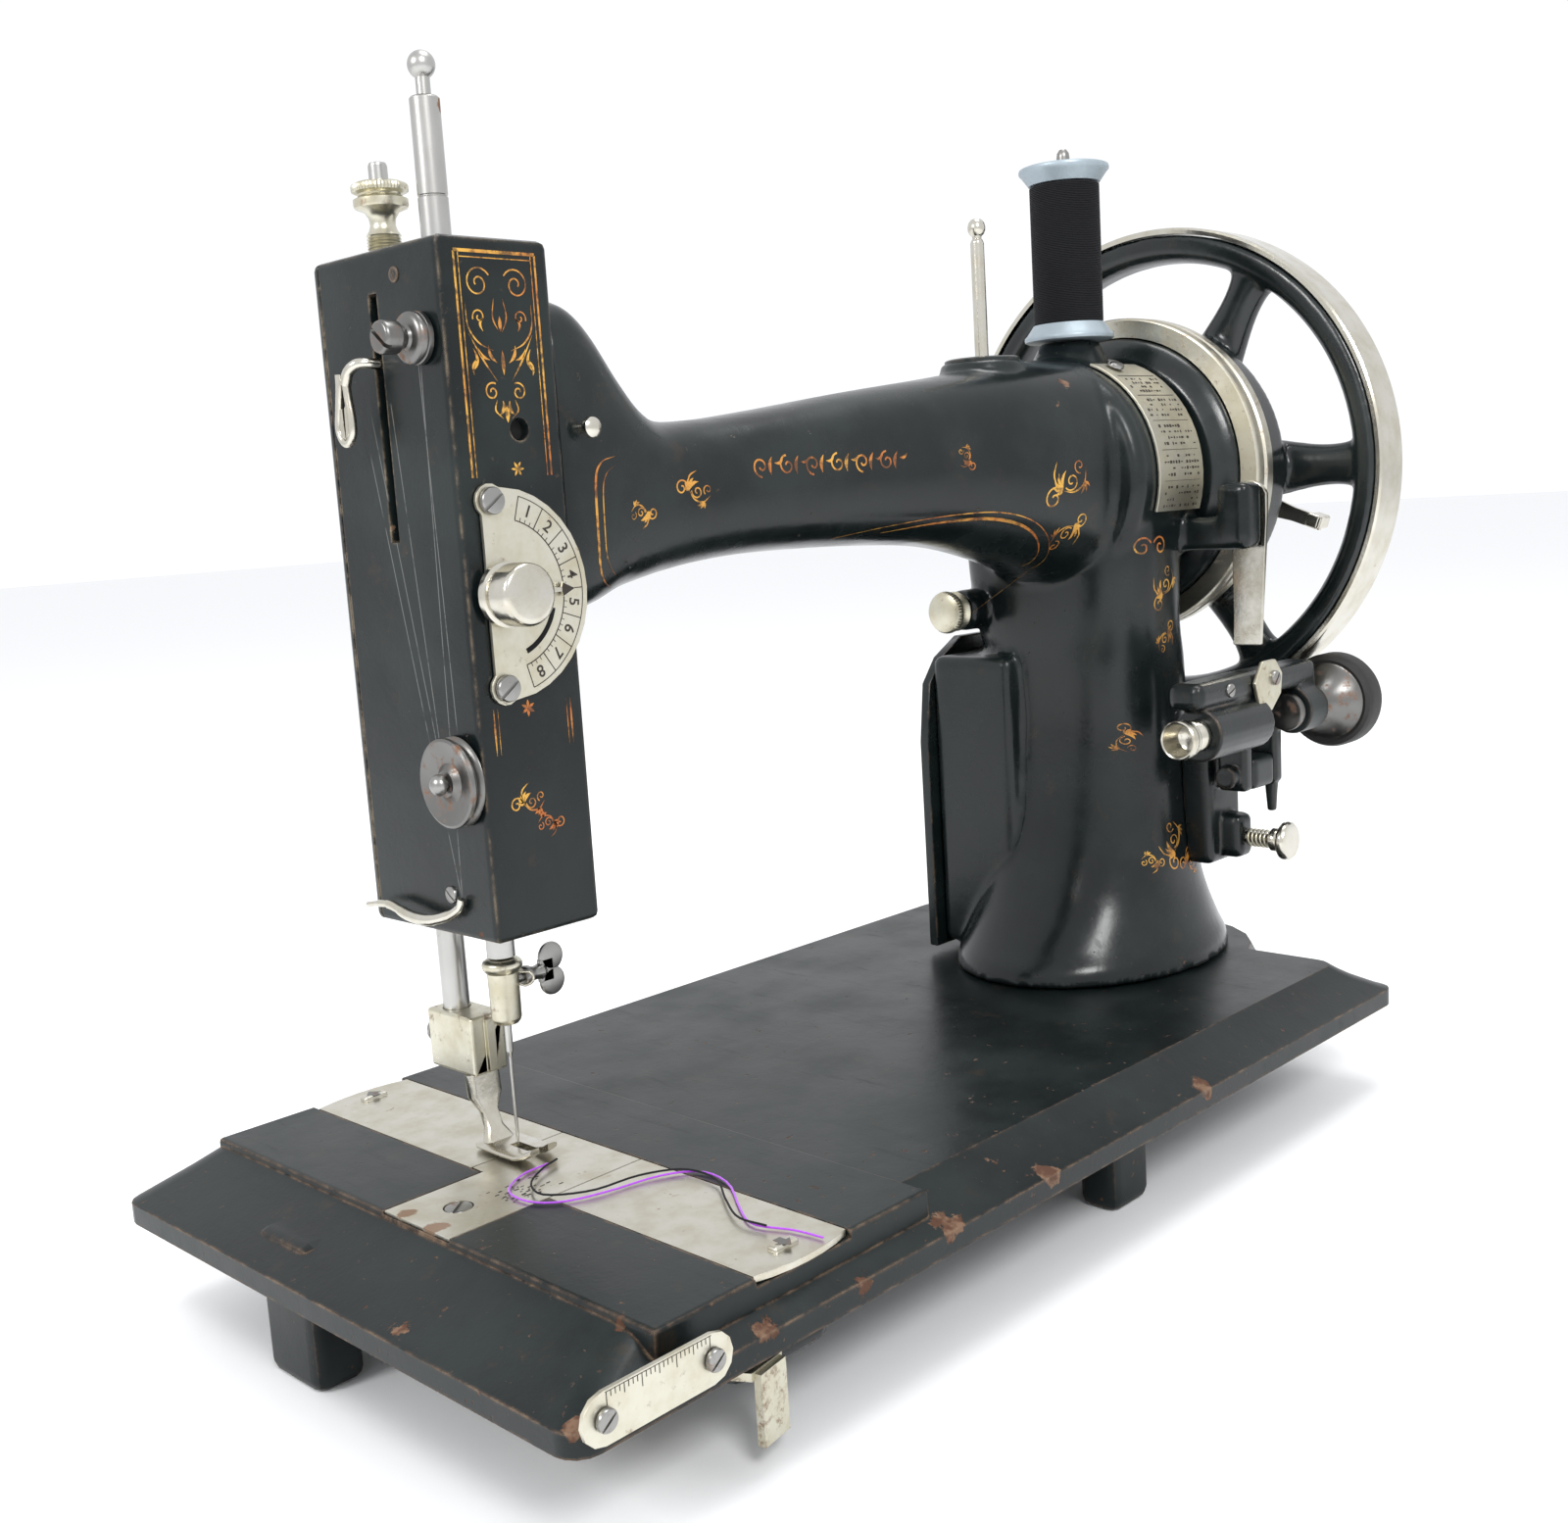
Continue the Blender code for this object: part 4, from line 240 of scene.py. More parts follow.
def japan(name, chips=(), worn=0.6, dull=0.0, specular=0.42, pits=0.35, bare=0.25, scored=()):
    """Old black japanning over cast iron: glossy, a little wavy, chipped to rust."""
    f = Finish(name)
    cloudy = f.noise(38.0, 4.0)
    fine = f.noise(900.0, 2.0)
    scratch = f.noise(240.0, 5.0, 0.7, stretch=(1.0, 0.12, 0.55))
    colour = f.mix(f.step(cloudy, 0.35, 0.7), PAINT, tint(0.0090, 0.0135, 0.0132))
    brown = f.step(f.noise(95.0, 6.0, 0.7), 0.58, 0.74)
    colour = f.mix(brown * 0.5, colour, tint(0.030, 0.020, 0.012))
    edge = f.edges(0.0011) * f.step(f.noise(160.0, 5.0, 0.7), 0.46 - 0.12 * worn, 0.62)
    speck = f.step(f.noise(420.0, 3.0, 0.6), 0.71 - 0.04 * pits, 0.76)
    lost = edge * worn | speck * (0.8 * pits)
    if chips:
        ragged = f.spots(*chips) + (f.noise(120.0, 8.0, 0.72, distortion=0.6) - 0.5) * 3.2
        lost = lost | f.step(ragged, 0.72, 0.80)
    metal = f.mix(f.step(f.noise(330.0, 4.0), 0.42, 0.62), RUST, tint(0.15, 0.088, 0.055))
    colour = f.mix(lost, colour, f.mix(edge * bare, metal, tint(0.34, 0.27, 0.18)))
    roughness = 0.19 + dull + f.step(cloudy, 0.3, 0.75) * 0.14 + f.step(scratch, 0.55, 0.8) * 0.12
    roughness = roughness + lost * 0.35
    for low, high in scored:
        colour = f.mix(f.scratch(low, high) * f.step(scratch, 0.35, 0.5), colour, tint(0.10, 0.105, 0.10))
    height = f.noise(70.0, 3.0) * 0.6 + fine * 0.12 - lost * 0.5 - speck * 0.3
    return f.done(colour, roughness, 0.0, f.bump(height, 0.00035, 0.55), specular)


def nickel(name, warm=0.5, worn=0.4, brushed=(1.0, 1.0, 1.0), base_rough=0.16, stain=()):
    """Old nickel plate: bright and warm, with brown spots where it has worn through."""
    f = Finish(name)
    patch = f.noise(130.0, 5.0, 0.6)
    line = f.noise(700.0, 4.0, 0.65, stretch=brushed)
    bright = tint(0.58, 0.56, 0.515 - 0.05 * warm)
    aged = tint(0.49, 0.455, 0.385 - 0.05 * warm)
    colour = f.mix(f.step(patch, 0.35, 0.75), bright, aged)
    brown = f.step(f.noise(310.0, 6.0, 0.72), 0.66 - 0.14 * worn, 0.80 - 0.10 * worn)
    if stain:
        brown = brown | f.step(f.spots(*stain) + (f.noise(420.0, 5.0, 0.7) - 0.5) * 1.4, 0.4, 0.7)
    colour = f.mix(brown * 0.85, colour, tint(0.17, 0.085, 0.040))
    roughness = base_rough + f.step(patch, 0.3, 0.7) * 0.10 + line * 0.14 + brown * 0.35
    return f.done(colour, roughness, 1.0 - brown * 0.6, f.bump(line, 0.00012, 0.22))


def steel(name, rust=0.4, shade=0.5, stain=()):
    """Bar steel with fine turning lines and light rust."""
    f = Finish(name)
    line = f.noise(900.0, 4.0, 0.6, stretch=(1.0, 1.0, 0.08))
    brown = f.step(f.noise(260.0, 6.0, 0.7), 0.70 - 0.16 * rust, 0.82 - 0.1 * rust)
    if stain:
        brown = brown | f.step(f.spots(*stain) + (f.noise(500.0, 5.0, 0.7) - 0.5) * 1.3, 0.4, 0.65)
    grey = f.mix(f.noise(60.0, 3.0), tint(shade, shade, shade * 0.98),
                 tint(shade * 0.72, shade * 0.70, shade * 0.66))
    colour = f.mix(brown, grey, tint(0.16, 0.075, 0.035))
    return f.done(colour, 0.24 + line * 0.16 + brown * 0.35, 1.0 - brown * 0.7,
                  f.bump(line, 0.0001, 0.25))


def gilt(name):
    """Gold transfer ornament, rubbed away in patches."""
    f = Finish(name)
    rubbed = f.step(f.noise(240.0, 5.0, 0.75), 0.46, 0.60)
    hue = f.mix(f.step(f.noise(60.0, 3.0), 0.35, 0.65), tint(0.62, 0.34, 0.055), tint(0.40, 0.115, 0.022))
    colour = f.mix(rubbed * 0.85, hue, tint(0.060, 0.030, 0.014))
    return f.done(colour, 0.42, 0.25)


def plain(name, colour, roughness, metallic=0.0, variation=0.25, scale=220.0):
    """A quiet finish with a little change of shade and grain."""
    f = Finish(name)
    grain = f.noise(scale, 5.0, 0.65)
    darker = tint(*[part * (1 - variation) for part in colour[:3]])
    return f.done(f.mix(grain, colour, darker), roughness + grain * 0.16, metallic,
                  f.bump(grain, 0.0001, 0.4))


def thread_finish(name, colour, sheen):
    """Cotton: short slanting plies with a soft shine."""
    f = Finish(name)
    ply = f.noise(2600.0, 2.0, 0.5, stretch=(1.0, 0.6, 3.0))
    lighter = tint(*[min(part * 2.2 + 0.003, 1.0) for part in colour[:3]])
    f.shader.inputs["Sheen Weight"].default_value = sheen
    return f.done(f.mix(ply, colour, lighter), 0.62 + ply * 0.2, 0.0, f.bump(ply, 0.0001, 0.5), 0.18)


# ---- shapes --------------------
def linked(name, data):
    """A new object in the scene."""
    obj = bpy.data.objects.new(name, data)
    bpy.context.scene.collection.objects.link(obj)
    return obj


def meshed(name, shape):
    """A mesh from a bmesh, which is freed."""
    mesh = bpy.data.meshes.new(name)
    shape.to_mesh(mesh)
    shape.free()
    return mesh


def baked(obj):
    """An object's mesh with its modifiers or curve settings in it."""
    bpy.context.view_layer.update()
    return bpy.data.meshes.new_from_object(obj.evaluated_get(bpy.context.evaluated_depsgraph_get()))


def standing(across, up, out):
    """The turn that lays X, Y and Z along three directions."""
    return Matrix((across, up, out)).transposed().to_4x4()


def turn_to(axis):
    return Z.rotation_difference(Vector(axis)).to_matrix().to_4x4()


def turned(profile, centre, axis=Z, steps=64):
    """A round solid from (radius, height) in millimetres, on an axis through a point."""
    shape = bmesh.new()
    verts = [shape.verts.new(Vector((radius, 0, height)) * MM) for radius, height in profile]
    edges = [shape.edges.new(pair) for pair in zip(verts, verts[1:])]
    if profile[0][0] > 0 and profile[-1][0] > 0:
        edges.append(shape.edges.new((verts[-1], verts[0])))
    bmesh.ops.spin(shape, geom=verts + edges, cent=(0, 0, 0), axis=(0, 0, 1),
                   angle=2 * math.pi, steps=steps, use_merge=True)
    bmesh.ops.remove_doubles(shape, verts=shape.verts, dist=1e-7)
    shape.transform(Matrix.Translation(at(*centre)) @ turn_to(axis))
    return shape


def block(low, high, rounding=0.4):
    """A box between two corners with eased edges."""
    low, high = at(*low), at(*high)
    shape = bmesh.new()
    bmesh.ops.create_cube(shape, size=1.0)
    bmesh.ops.scale(shape, vec=high - low, verts=shape.verts)
    bmesh.ops.translate(shape, vec=(low + high) / 2, verts=shape.verts)
    if rounding:
        bmesh.ops.bevel(shape, geom=shape.edges[:], offset=rounding * MM, segments=3,
                        affect="EDGES", profile=0.5, material=-1)
    return shape


def rod(start, end, radius, easing=0.25):
    """A round bar with eased ends."""
    start, end = Vector(start), Vector(end)
    length = (end - start).length
    easing = min(easing, radius * 0.6)
    profile = [(0, 0), (radius - easing, 0), (radius - easing * 0.3, easing * 0.3), (radius, easing),
               (radius, length - easing), (radius - easing * 0.3, length - easing * 0.3),
               (radius - easing, length), (0, length)]
    return turned(profile, start, (end - start).normalized(), 32)


def slab(outline, centre, across, up, thickness, rounding=0.25):
    """A flat outline in millimetres, given a thickness and eased edges."""
    across, up = Vector(across), Vector(up)
    shape = bmesh.new()
    verts = [shape.verts.new((across * a + up * b) * MM) for a, b in outline]
    grown = bmesh.ops.extrude_face_region(shape, geom=[shape.faces.new(verts)])
    raised = [item for item in grown["geom"] if isinstance(item, bmesh.types.BMVert)]
    bmesh.ops.translate(shape, vec=across.cross(up) * thickness * MM, verts=raised)
    bmesh.ops.translate(shape, vec=at(*centre), verts=shape.verts)
    if rounding:
        rim = [edge for edge in shape.edges if len(edge.link_faces) == 2
               and edge.calc_face_angle(0) > 0.6]
        bmesh.ops.bevel(shape, geom=rim, offset=rounding * MM, segments=2, affect="EDGES",
                        profile=0.5, material=-1)
    return shape


def oval_ring(shape, half_width, half_height, squareness, count):
    """A closed ring of edges in the XY plane, from round to squarish."""
    made = bmesh.ops.create_circle(shape, segments=count, radius=1.0)
    for vert in made["verts"]:
        wide, tall = vert.co.x, vert.co.y
        vert.co.x = half_width * MM * math.copysign(abs(wide) ** (2 / squareness), wide)
        vert.co.y = half_height * MM * math.copysign(abs(tall) ** (2 / squareness), tall)
    return made["verts"]


def lofted(sections, frame_of, count=72):
    """A closed skin through rings: each section is (half width, half height, squareness, where)."""
    shape = bmesh.new()
    rings = []
    for wide, tall, square, where in sections:
        verts = oval_ring(shape, wide, tall, square, count)
        bmesh.ops.transform(shape, matrix=frame_of(where), verts=verts)
        rings.append(list({edge for vert in verts for edge in vert.link_edges}))
    for lower, upper in zip(rings, rings[1:]):
        bmesh.ops.bridge_loops(shape, edges=lower + upper)
    for ring in (rings[0], rings[-1]):
        bmesh.ops.contextual_create(shape, geom=ring)
    return shape


def joined(*shapes):
    """Several shells as one."""
    whole = shapes[0]
    for extra in shapes[1:]:
        mesh = meshed("joining", extra)
        whole.from_mesh(mesh)
        bpy.data.meshes.remove(mesh)
    return whole


def eased(rows, steps):
    """Rows of numbers read at even steps along a smooth curve through them."""
    ends = [[2 * a - b for a, b in zip(rows[0], rows[1])]] + [list(row) for row in rows]
    ends.append([2 * a - b for a, b in zip(rows[-1], rows[-2])])
    spans, read = len(rows) - 1, []
    for step in range(steps + 1):
        reach = min(step / steps * spans, spans - 1e-9)
        index, t = int(reach), reach - int(reach)
        read.append([0.5 * (2 * b + (c - a) * t + (2 * a - 5 * b + 4 * c - d) * t * t
                            + (3 * b - a - 3 * c + d) * t ** 3)
                     for a, b, c, d in zip(*ends[index:index + 4])])
    return read


def repaint(obj, material):
    """Leave an object with one material."""
    obj.data.materials.clear()
    obj.data.materials.append(material)


def shade(obj, sharp=38):
    """Smooth shading that keeps flat faces flat."""
    obj.modifiers.clear()
    obj.data.shade_smooth()
    obj.data.set_sharp_from_angle(angle=math.radians(sharp))
    weigh = obj.modifiers.new("weigh", "WEIGHTED_NORMAL")
    weigh.keep_sharp, weigh.weight = True, 100


def finish_piece(obj, material, body, stands_for=(), sharp=38):
    if obj.type == "MESH":
        shade(obj, sharp)
        obj.data.materials.clear()
    obj.data.materials.append(material)
    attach(obj, body)
    if stands_for:
        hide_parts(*stands_for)
    return obj


def outward(shape):
    """Turn a closed skin the right way out."""
    bmesh.ops.recalc_face_normals(shape, faces=shape.faces)
    if shape.calc_volume(signed=True) < 0:
        bmesh.ops.reverse_faces(shape, faces=shape.faces)


def piece(name, shape, material, body, stands_for=()):
    """A finished piece from a bmesh."""
    outward(shape)
    return finish_piece(linked(name, meshed(name, shape)), material, body, stands_for)


def applied(obj):
    """Bake an object's modifiers into its mesh."""
    mesh = baked(obj)
    obj.modifiers.clear()
    obj.data = mesh
    return obj


def cut_from(obj, *tools):
    """Take shapes out of a piece."""
    obj.modifiers.clear()
    for tool in tools:
        outward(tool)
        cutter = linked("cutter", meshed("cutter", tool))
        modifier = obj.modifiers.new("cut", "BOOLEAN")
        modifier.operation, modifier.solver, modifier.object = "DIFFERENCE", "EXACT", cutter
        applied(obj)
        bpy.data.objects.remove(cutter)
    shade(obj)
    return obj


def fused(obj, voxel, rounds):
    """Melt overlapping shells into one casting with soft inner corners."""
    obj.modifiers.clear()
    modifier = obj.modifiers.new("fuse", "REMESH")
    modifier.mode, modifier.voxel_size, modifier.use_smooth_shade = "VOXEL", voxel * MM, True
    modifier = obj.modifiers.new("soften", "SMOOTH")
    modifier.factor, modifier.iterations = 0.5, rounds
    applied(obj)
    obj.data.shade_smooth()
    return obj


def refined(node, material, easing=0.3, sharp=35):
    """A cleaned copy of a CAD part with its edges eased, standing for the part."""
    source = NODES[node]
    shape = bmesh.new()
    shape.from_mesh(source.data)
    bmesh.ops.remove_doubles(shape, verts=shape.verts, dist=2e-6)
    bmesh.ops.dissolve_limit(shape, angle_limit=math.radians(1.0), verts=shape.verts, edges=shape.edges)
    mesh = meshed(node + "_fine", shape)
    for layer in [a.name for a in mesh.attributes if a.name.startswith("custom_normal")]:
        mesh.attributes.remove(mesh.attributes[layer])
    obj = linked(node + "_fine", mesh)
    if easing:
        bevel = obj.modifiers.new("ease", "BEVEL")
        bevel.width, bevel.segments, bevel.limit_method = easing * MM, 2, "ANGLE"
        bevel.angle_limit, bevel.use_clamp_overlap = math.radians(32), True
        applied(obj)
    return finish_piece(obj, material, source["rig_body"], [node], sharp)


def wire(name, points, radius, material, body, stands_for=(), resolution=4,
         smooth=0, radii=None):
    """A round wire through points in millimetres."""
    if smooth:
        points = eased([list(point) for point in points], smooth)
    curve = bpy.data.curves.new(name, "CURVE")
    curve.dimensions, curve.bevel_depth = "3D", radius * MM
    curve.bevel_resolution, curve.use_fill_caps = resolution, True
    spline = curve.splines.new("POLY")
    spline.points.add(len(points) - 1)
    for index, (slot_point, point) in enumerate(zip(spline.points, points)):
        slot_point.co = (*at(*point), 1)
        if radii:
            slot_point.radius = radii[min(int(index / len(points) * len(radii)), len(radii) - 1)]
    obj = linked(name, curve)
    obj.data.materials.append(material)
    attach(obj, body)
    if stands_for:
        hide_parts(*stands_for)
    return obj


def coiled(name, route, radius, material, stands_for=()):
    """A coil spring baked from a wire along its route, on the frame."""
    guide = wire(name + "_guide", route, radius, material, "frame", resolution=3)
    mesh = baked(guide)
    bpy.data.objects.remove(guide)
    obj = finish_piece(linked(name, mesh), material, "frame", stands_for, 60)
    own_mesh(obj)
    return obj


def cast_copy(node, material, voxel, rounds):
    """A CAD casting copied and melted a little, standing for the part."""
    obj = refined(node, material, easing=0)
    fused(obj, voxel, rounds)
    return obj


def ribbed(profile, centre, axis, low, high, depth, ribs=44):
    """A round solid whose band between two heights is knurled."""
    shape = turned(profile, centre, axis, ribs * 2)
    frame_of = Matrix.Translation(at(*centre)) @ turn_to(axis)
    shape.transform(frame_of.inverted())
    for vert in shape.verts:
        radius = math.hypot(vert.co.x, vert.co.y)
        column = round(math.atan2(vert.co.y, vert.co.x) / (math.pi / ribs))
        if low * MM <= vert.co.z <= high * MM and radius > 3 * depth * MM and column % 2:
            share = 1 - depth * MM / radius
            vert.co.x, vert.co.y = vert.co.x * share, vert.co.y * share
    shape.transform(frame_of)
    return shape


def slotted(name, centre, axis, across, radius, height, material, body, node=None, domed=0.3):
    """A cheese-head screw with a cut driver slot."""
    profile = [(0, 0), (radius, 0), (radius, height * 0.62), (radius * 0.93, height * 0.9),
               (radius * 0.8, height), (0, height + domed * 0.4)]
    head = piece(name, turned(profile, centre, axis, 40), material, body,
                 [node] if node else ())
    axis, across = Vector(axis).normalized(), Vector(across).normalized()
    slot = bmesh.new()
    bmesh.ops.create_cube(slot, size=1.0)
    bmesh.ops.scale(slot, vec=Vector((radius * 2.6, radius * 0.26, height * 1.1)) * MM, verts=slot.verts)
    turn = standing(across, axis.cross(across), axis)
    slot.transform(Matrix.Translation(at(*centre) + axis * (height + 0.15) * MM) @ turn)
    return cut_from(head, slot)


# ---- finishes --------------------
casting_paint = japan("casting_japan", [((183, -40, 176), 9), ((190, -35, 181), 6), ((214, -55, 4), 7)],
                      worn=0.45, dull=0.0, specular=0.36, pits=0.3)
bed_paint = japan("bed_japan", [((43, -97, -7), 9), ((-15, -98, -7), 7), ((-46, -91, -2.5), 6),
                                ((-61, -97, -8), 7), ((13, -99, -10), 7), ((80, -97, -9), 7),
                                ((-39, -84, -2), 4.5), ((150, -97, -9), 6), ((-60, -40, -8), 5)],
                  worn=0.95, dull=0.10, specular=0.26, pits=1.0)
head_paint = japan("head_japan", [((-14.8, 5, 150), 3), ((-14.8, 5, 160), 2.6), ((-14.8, -14, 59), 3)],
                   worn=0.85, dull=0.03, specular=0.30, pits=0.2, bare=0.9,
                   scored=(((2, 180), (-5, 100)), ((10, 176), (-4, 100)), ((-10, 188), (-12, 104)),
                           ((-11, 186), (-8, 66)), ((12, 168), (-8, 66))))
wheel_paint = japan("wheel_japan", worn=0.35, dull=0.0, specular=0.5, pits=0.15)
small_paint = japan("winder_japan", worn=1.0, dull=0.06, pits=0.8)
plate_nickel = nickel("plate_nickel", 0.5, 0.35, (1.0, 0.12, 1.0), 0.22,
                      [((-37.5, -20, 0), 5), ((-37, -8, 0), 4)])
bright_nickel = nickel("bright_nickel", 0.3, 0.25, base_rough=0.10)
warm_nickel = nickel("warm_nickel", 1.0, 0.7, base_rough=0.20)
dial_nickel = nickel("dial_nickel", 0.8, 0.45, base_rough=0.30)
band_nickel = nickel("band_nickel", 0.4, 0.12, base_rough=0.07)
ring_nickel = nickel("ring_nickel", 0.6, 0.9, base_rough=0.24)
bar_steel = steel("bar_steel", 0.25, 0.52, [((0, 0, 239), 4.2), ((2.5, -2.5, 241), 3)])
screw_steel = steel("screw_steel", 0.8, 0.34)
dark_steel = steel("dark_steel", 1.15, 0.20)
needle_steel = steel("needle_steel", 0.0, 0.6)
rusty_nickel = nickel("rusty_nickel", 1.0, 1.3, base_rough=0.34)
rubber = plain("tyre_rubber", tint(0.016, 0.015, 0.014), 0.52, 0.0, 0.5, 500.0)
spool_metal = plain("spool_metal", tint(0.34, 0.40, 0.44), 0.34, 0.45, 0.15, 400.0)
black_cotton = thread_finish("black_cotton", tint(0.004, 0.004, 0.005), 0.04)
purple_cotton = thread_finish("purple_cotton", tint(0.21, 0.035, 0.36), 0.4)
gold = gilt("gold_transfer")
ink = plain("stamped_mark", tint(0.028, 0.020, 0.013), 0.6, 0.0, 0.5)
# Painted shade: a near-black finish for thin sheets laid in a groove and a hole where shadow falls.
painted_shade = plain("painted_hollow_shade", tint(0.004, 0.004, 0.004), 0.8)


# ---- threads --------------------
PURPLE_ROUTE = [(-1.0, -12.5), (-9.0, -13.0), (-16.5, -18.0), (-17.5, -26.5), (-13.0, -33.0),
                (-3.0, -37.0), (10.0, -40.0), (17.0, -46.0), (16.0, -56.0), (8.0, -68.0),
                (4.0, -76.0), (7.0, -85.0), (8.0, -92.5)]
BLACK_ROUTE = [(1.0, -13.5), (-5.0, -15.5), (-12.0, -20.5), (-14.0, -28.0), (-6.0, -35.0),
               (6.0, -37.2), (14.5, -43.0), (15.0, -53.0), (8.5, -63.0), (3.5, -72.0), (4.0, -80.0)]
LIE = THREAD_RADIUS + 0.3


def make_threads():
    """The two loose thread ends on the plates."""
    for name, route, lift, cotton in (("purple_thread", PURPLE_ROUTE, 0.0, purple_cotton),
                                      ("black_thread", BLACK_ROUTE, 3 * THREAD_RADIUS, black_cotton)):
        points = eased([(x, y, LIE + lift) for x, y in route], 44)
        lead = wire(name + "_end", points, THREAD_RADIUS, cotton, "frame", [name])


# ---- castings --------------------
def make_arm():
    """The arm, column, bearing drum and bosses, melted into one casting."""
    base = -0.3
    column = [(0.0, -1, 50, 40, 2.0), (0.03, -1, 49.4, 39.6, 2.0), (0.07, -0.5, 44, 37, 2.1),
              (0.15, 0, 34.5, 34, 2.3), (0.24, 0.5, 28.5, 32.5, 2.4), (0.34, 1, 25, 31.5, 2.5),
              (0.5, 1, 23, 31, 2.6), (0.62, -0.5, 22, 31.5, 2.7), (0.71, -4, 20, 32.5, 3.0),
              (0.83, -5.5, 19.3, 34, 3.2), (1.0, -5.8, 19, 34.6, 3.2)]
    rings = [(long, deep, square, (COLUMN_X + shift, base + (SHAFT_Z - base) * share))
             for share, shift, long, deep, square in eased(column, 48)]
    dome = [(0.0, 19, 34.6), (0.45, 16.6, 29.5), (0.75, 15.6, 14.0), (0.92, 12.0, 9.0), (1.0, 9.0, 8.4)]
    rings += [(long, deep, 2.3, (SPOOL_X, SHAFT_Z + (SPOOL_SEAT - SHAFT_Z) * share))
              for share, long, deep in eased(dome, 16)[1:]]
    body = lofted(rings, lambda where: Matrix.Translation(at(where[0], SHAFT_Y, where[1])))
    start = 15.2
    arm = [(0.0, 3.5, 22.0, -23.5, 48.5, 5.0), (0.04, 3.0, 21.6, -23.2, 47.8, 5.0),
           (0.075, 2.2, 20.6, -22.0, 43.5, 4.0), (0.115, 1.2, 19.3, -19.5, 34.0, 3.2),
           (0.155, 0.2, 18.2, -17.8, 25.5, 2.8), (0.20, -0.8, 17.4, -16.2, 21.2, 2.5),
           (0.27, -2.4, 17.0, -14.4, 21.0, 2.4), (0.37, -4.6, 17.0, -13.4, 23.0, 2.4),
           (0.55, -8.0, 18.0, -14.0, 27.5, 2.4), (0.71, -11.0, 20.5, -16.5, 31.0, 2.4),
           (0.86, -13.0, 25.0, -23.5, 34.5, 2.4), (1.0, -13.7, 29.0, -33.0, 37.0, 2.4)]
    turn = standing(Y, Z, X)
    rings = [(half, (high - low) / 2, square,
              (start + (DRUM_LEFT + 6 - start) * share, middle, SHAFT_Z + (low + high) / 2))
             for share, middle, half, low, high, square in eased(arm, 60)]
    limb = lofted(rings, lambda where: Matrix.Translation(at(*where)) @ turn)
    width = DRUM_RIGHT - DRUM_LEFT
    drum = turned([(0, 0), (DRUM_RADIUS - 2, 0), (DRUM_RADIUS, 3), (DRUM_RADIUS, width - 2),
                   (DRUM_RADIUS - 2, width), (0, width)], (DRUM_LEFT, SHAFT_Y, SHAFT_Z), X, 96)
    boss = turned([(0, -6), (12.5, -6), (12.5, 2.2), (11.2, 3.5), (0, 3.5)], (PIN_X, PIN_Y, 184.1))
    rear = block((COLUMN_X - 28, SHAFT_Y + 10, 3), (COLUMN_X + 28, 27, 98), 2.5)
    knob = rod((COLUMN_X - 8, 12, 113), REAR_KNOB, 6.5, easing=1)
    strap = block((228.5, -69.5, 128), (238.5, SHAFT_Y - DRUM_RADIUS + 8, 138), 2)
    lug = block((228.3, -69.7, 129), (238.7, -59.3, 148), 2)
    rim = turned([(0, 0), (51.0, 0), (51.0, 0.5), (49.0, 1.5), (0, 1.5)], (224, SHAFT_Y, -0.3), Z, 96)
    bmesh.ops.scale(rim, vec=(1.0, 0.80, 1.0), space=Matrix.Translation(-at(224, SHAFT_Y, 0)),
                    verts=rim.verts)
    casting = piece("arm_casting", joined(body, limb, drum, boss, rear, knob, strap, lug, rim),
                    casting_paint, "frame", ["arm_column"])
    fused(casting, 1.1, 7)
    repaint(casting, casting_paint)
    return casting


def make_wheel():
    """The hand wheel: rim, hub and six spokes in one casting, with its plated rings."""
    centre = (PULLEY_LEFT, SHAFT_Y, SHAFT_Z)
    left, right = WHEEL_LEFT - PULLEY_LEFT, WHEEL_LEFT - PULLEY_LEFT + WHEEL_WIDTH
    rim = turned([(71.0, left + 0.5), (75.6, left + 0.1), (76.6, left + 0.8), (76.6, right - 0.8),
                  (75.6, right - 0.1), (71.0, right - 0.5), (69.0, right - 2.4), (68.2, right - 5),
                  (68.2, left + 5), (69.0, left + 2.4)], centre, X, 128)
    hub = turned([(5.7, 0), (37, 0), (41, 2), (43.6, 4.2), (43.6, 15.0), (47.5, 15.2), (47.5, left),
                  (45.5, left + 2.6), (33.5, left + 3.5), (24, left + 7), (20, right), (5.7, right)],
                 centre, X, 96)
    shells = [rim, hub]
    spoke = [(9.2, 5.5, 2.2, 40.0), (6.6, 4.6, 2.2, 55.0), (6.5, 4.4, 2.2, 64.0), (8.5, 4.8, 2.2, 71.0)]
    middle = WHEEL_LEFT + WHEEL_WIDTH * 0.42
    stand = standing(Y, X, Z)
    for step in range(6):
        spin = Matrix.Rotation(math.radians(60 * step - 90), 4, "X")
        shells.append(lofted(eased(spoke, 10), lambda reach: Matrix.Translation(
            at(middle, SHAFT_Y, SHAFT_Z)) @ spin @ Matrix.Translation(Z * reach * MM) @ stand, 32))
    wheel = piece("wheel_casting", joined(*shells), wheel_paint, "wheel", ["hand_wheel"])
    fused(wheel, 0.95, 5)
    repaint(wheel, wheel_paint)
    piece("rim_band", turned([(77.0, left + 0.3), (78.2, left + 0.3), (78.8, left + 0.8),
                              (79.0, left + 1.8), (79.0, right - 1.8), (78.8, right - 0.8),
                              (78.2, right - 0.3), (77.0, right - 0.3)], centre, X, 160), band_nickel,
          "wheel", ["wheel_rim_band"])
    piece("pulley_band", turned([(44.0, 5.3), (49.3, 5.3), (50.0, 6.2), (50.0, 9.0), (49.2, 9.6),
                                 (49.2, 10.4), (50.0, 11.0), (50.0, 14.4), (49.6, 14.7), (44.0, 14.7)],
                                centre, X, 128), ring_nickel, "wheel", ["pulley_ring"])


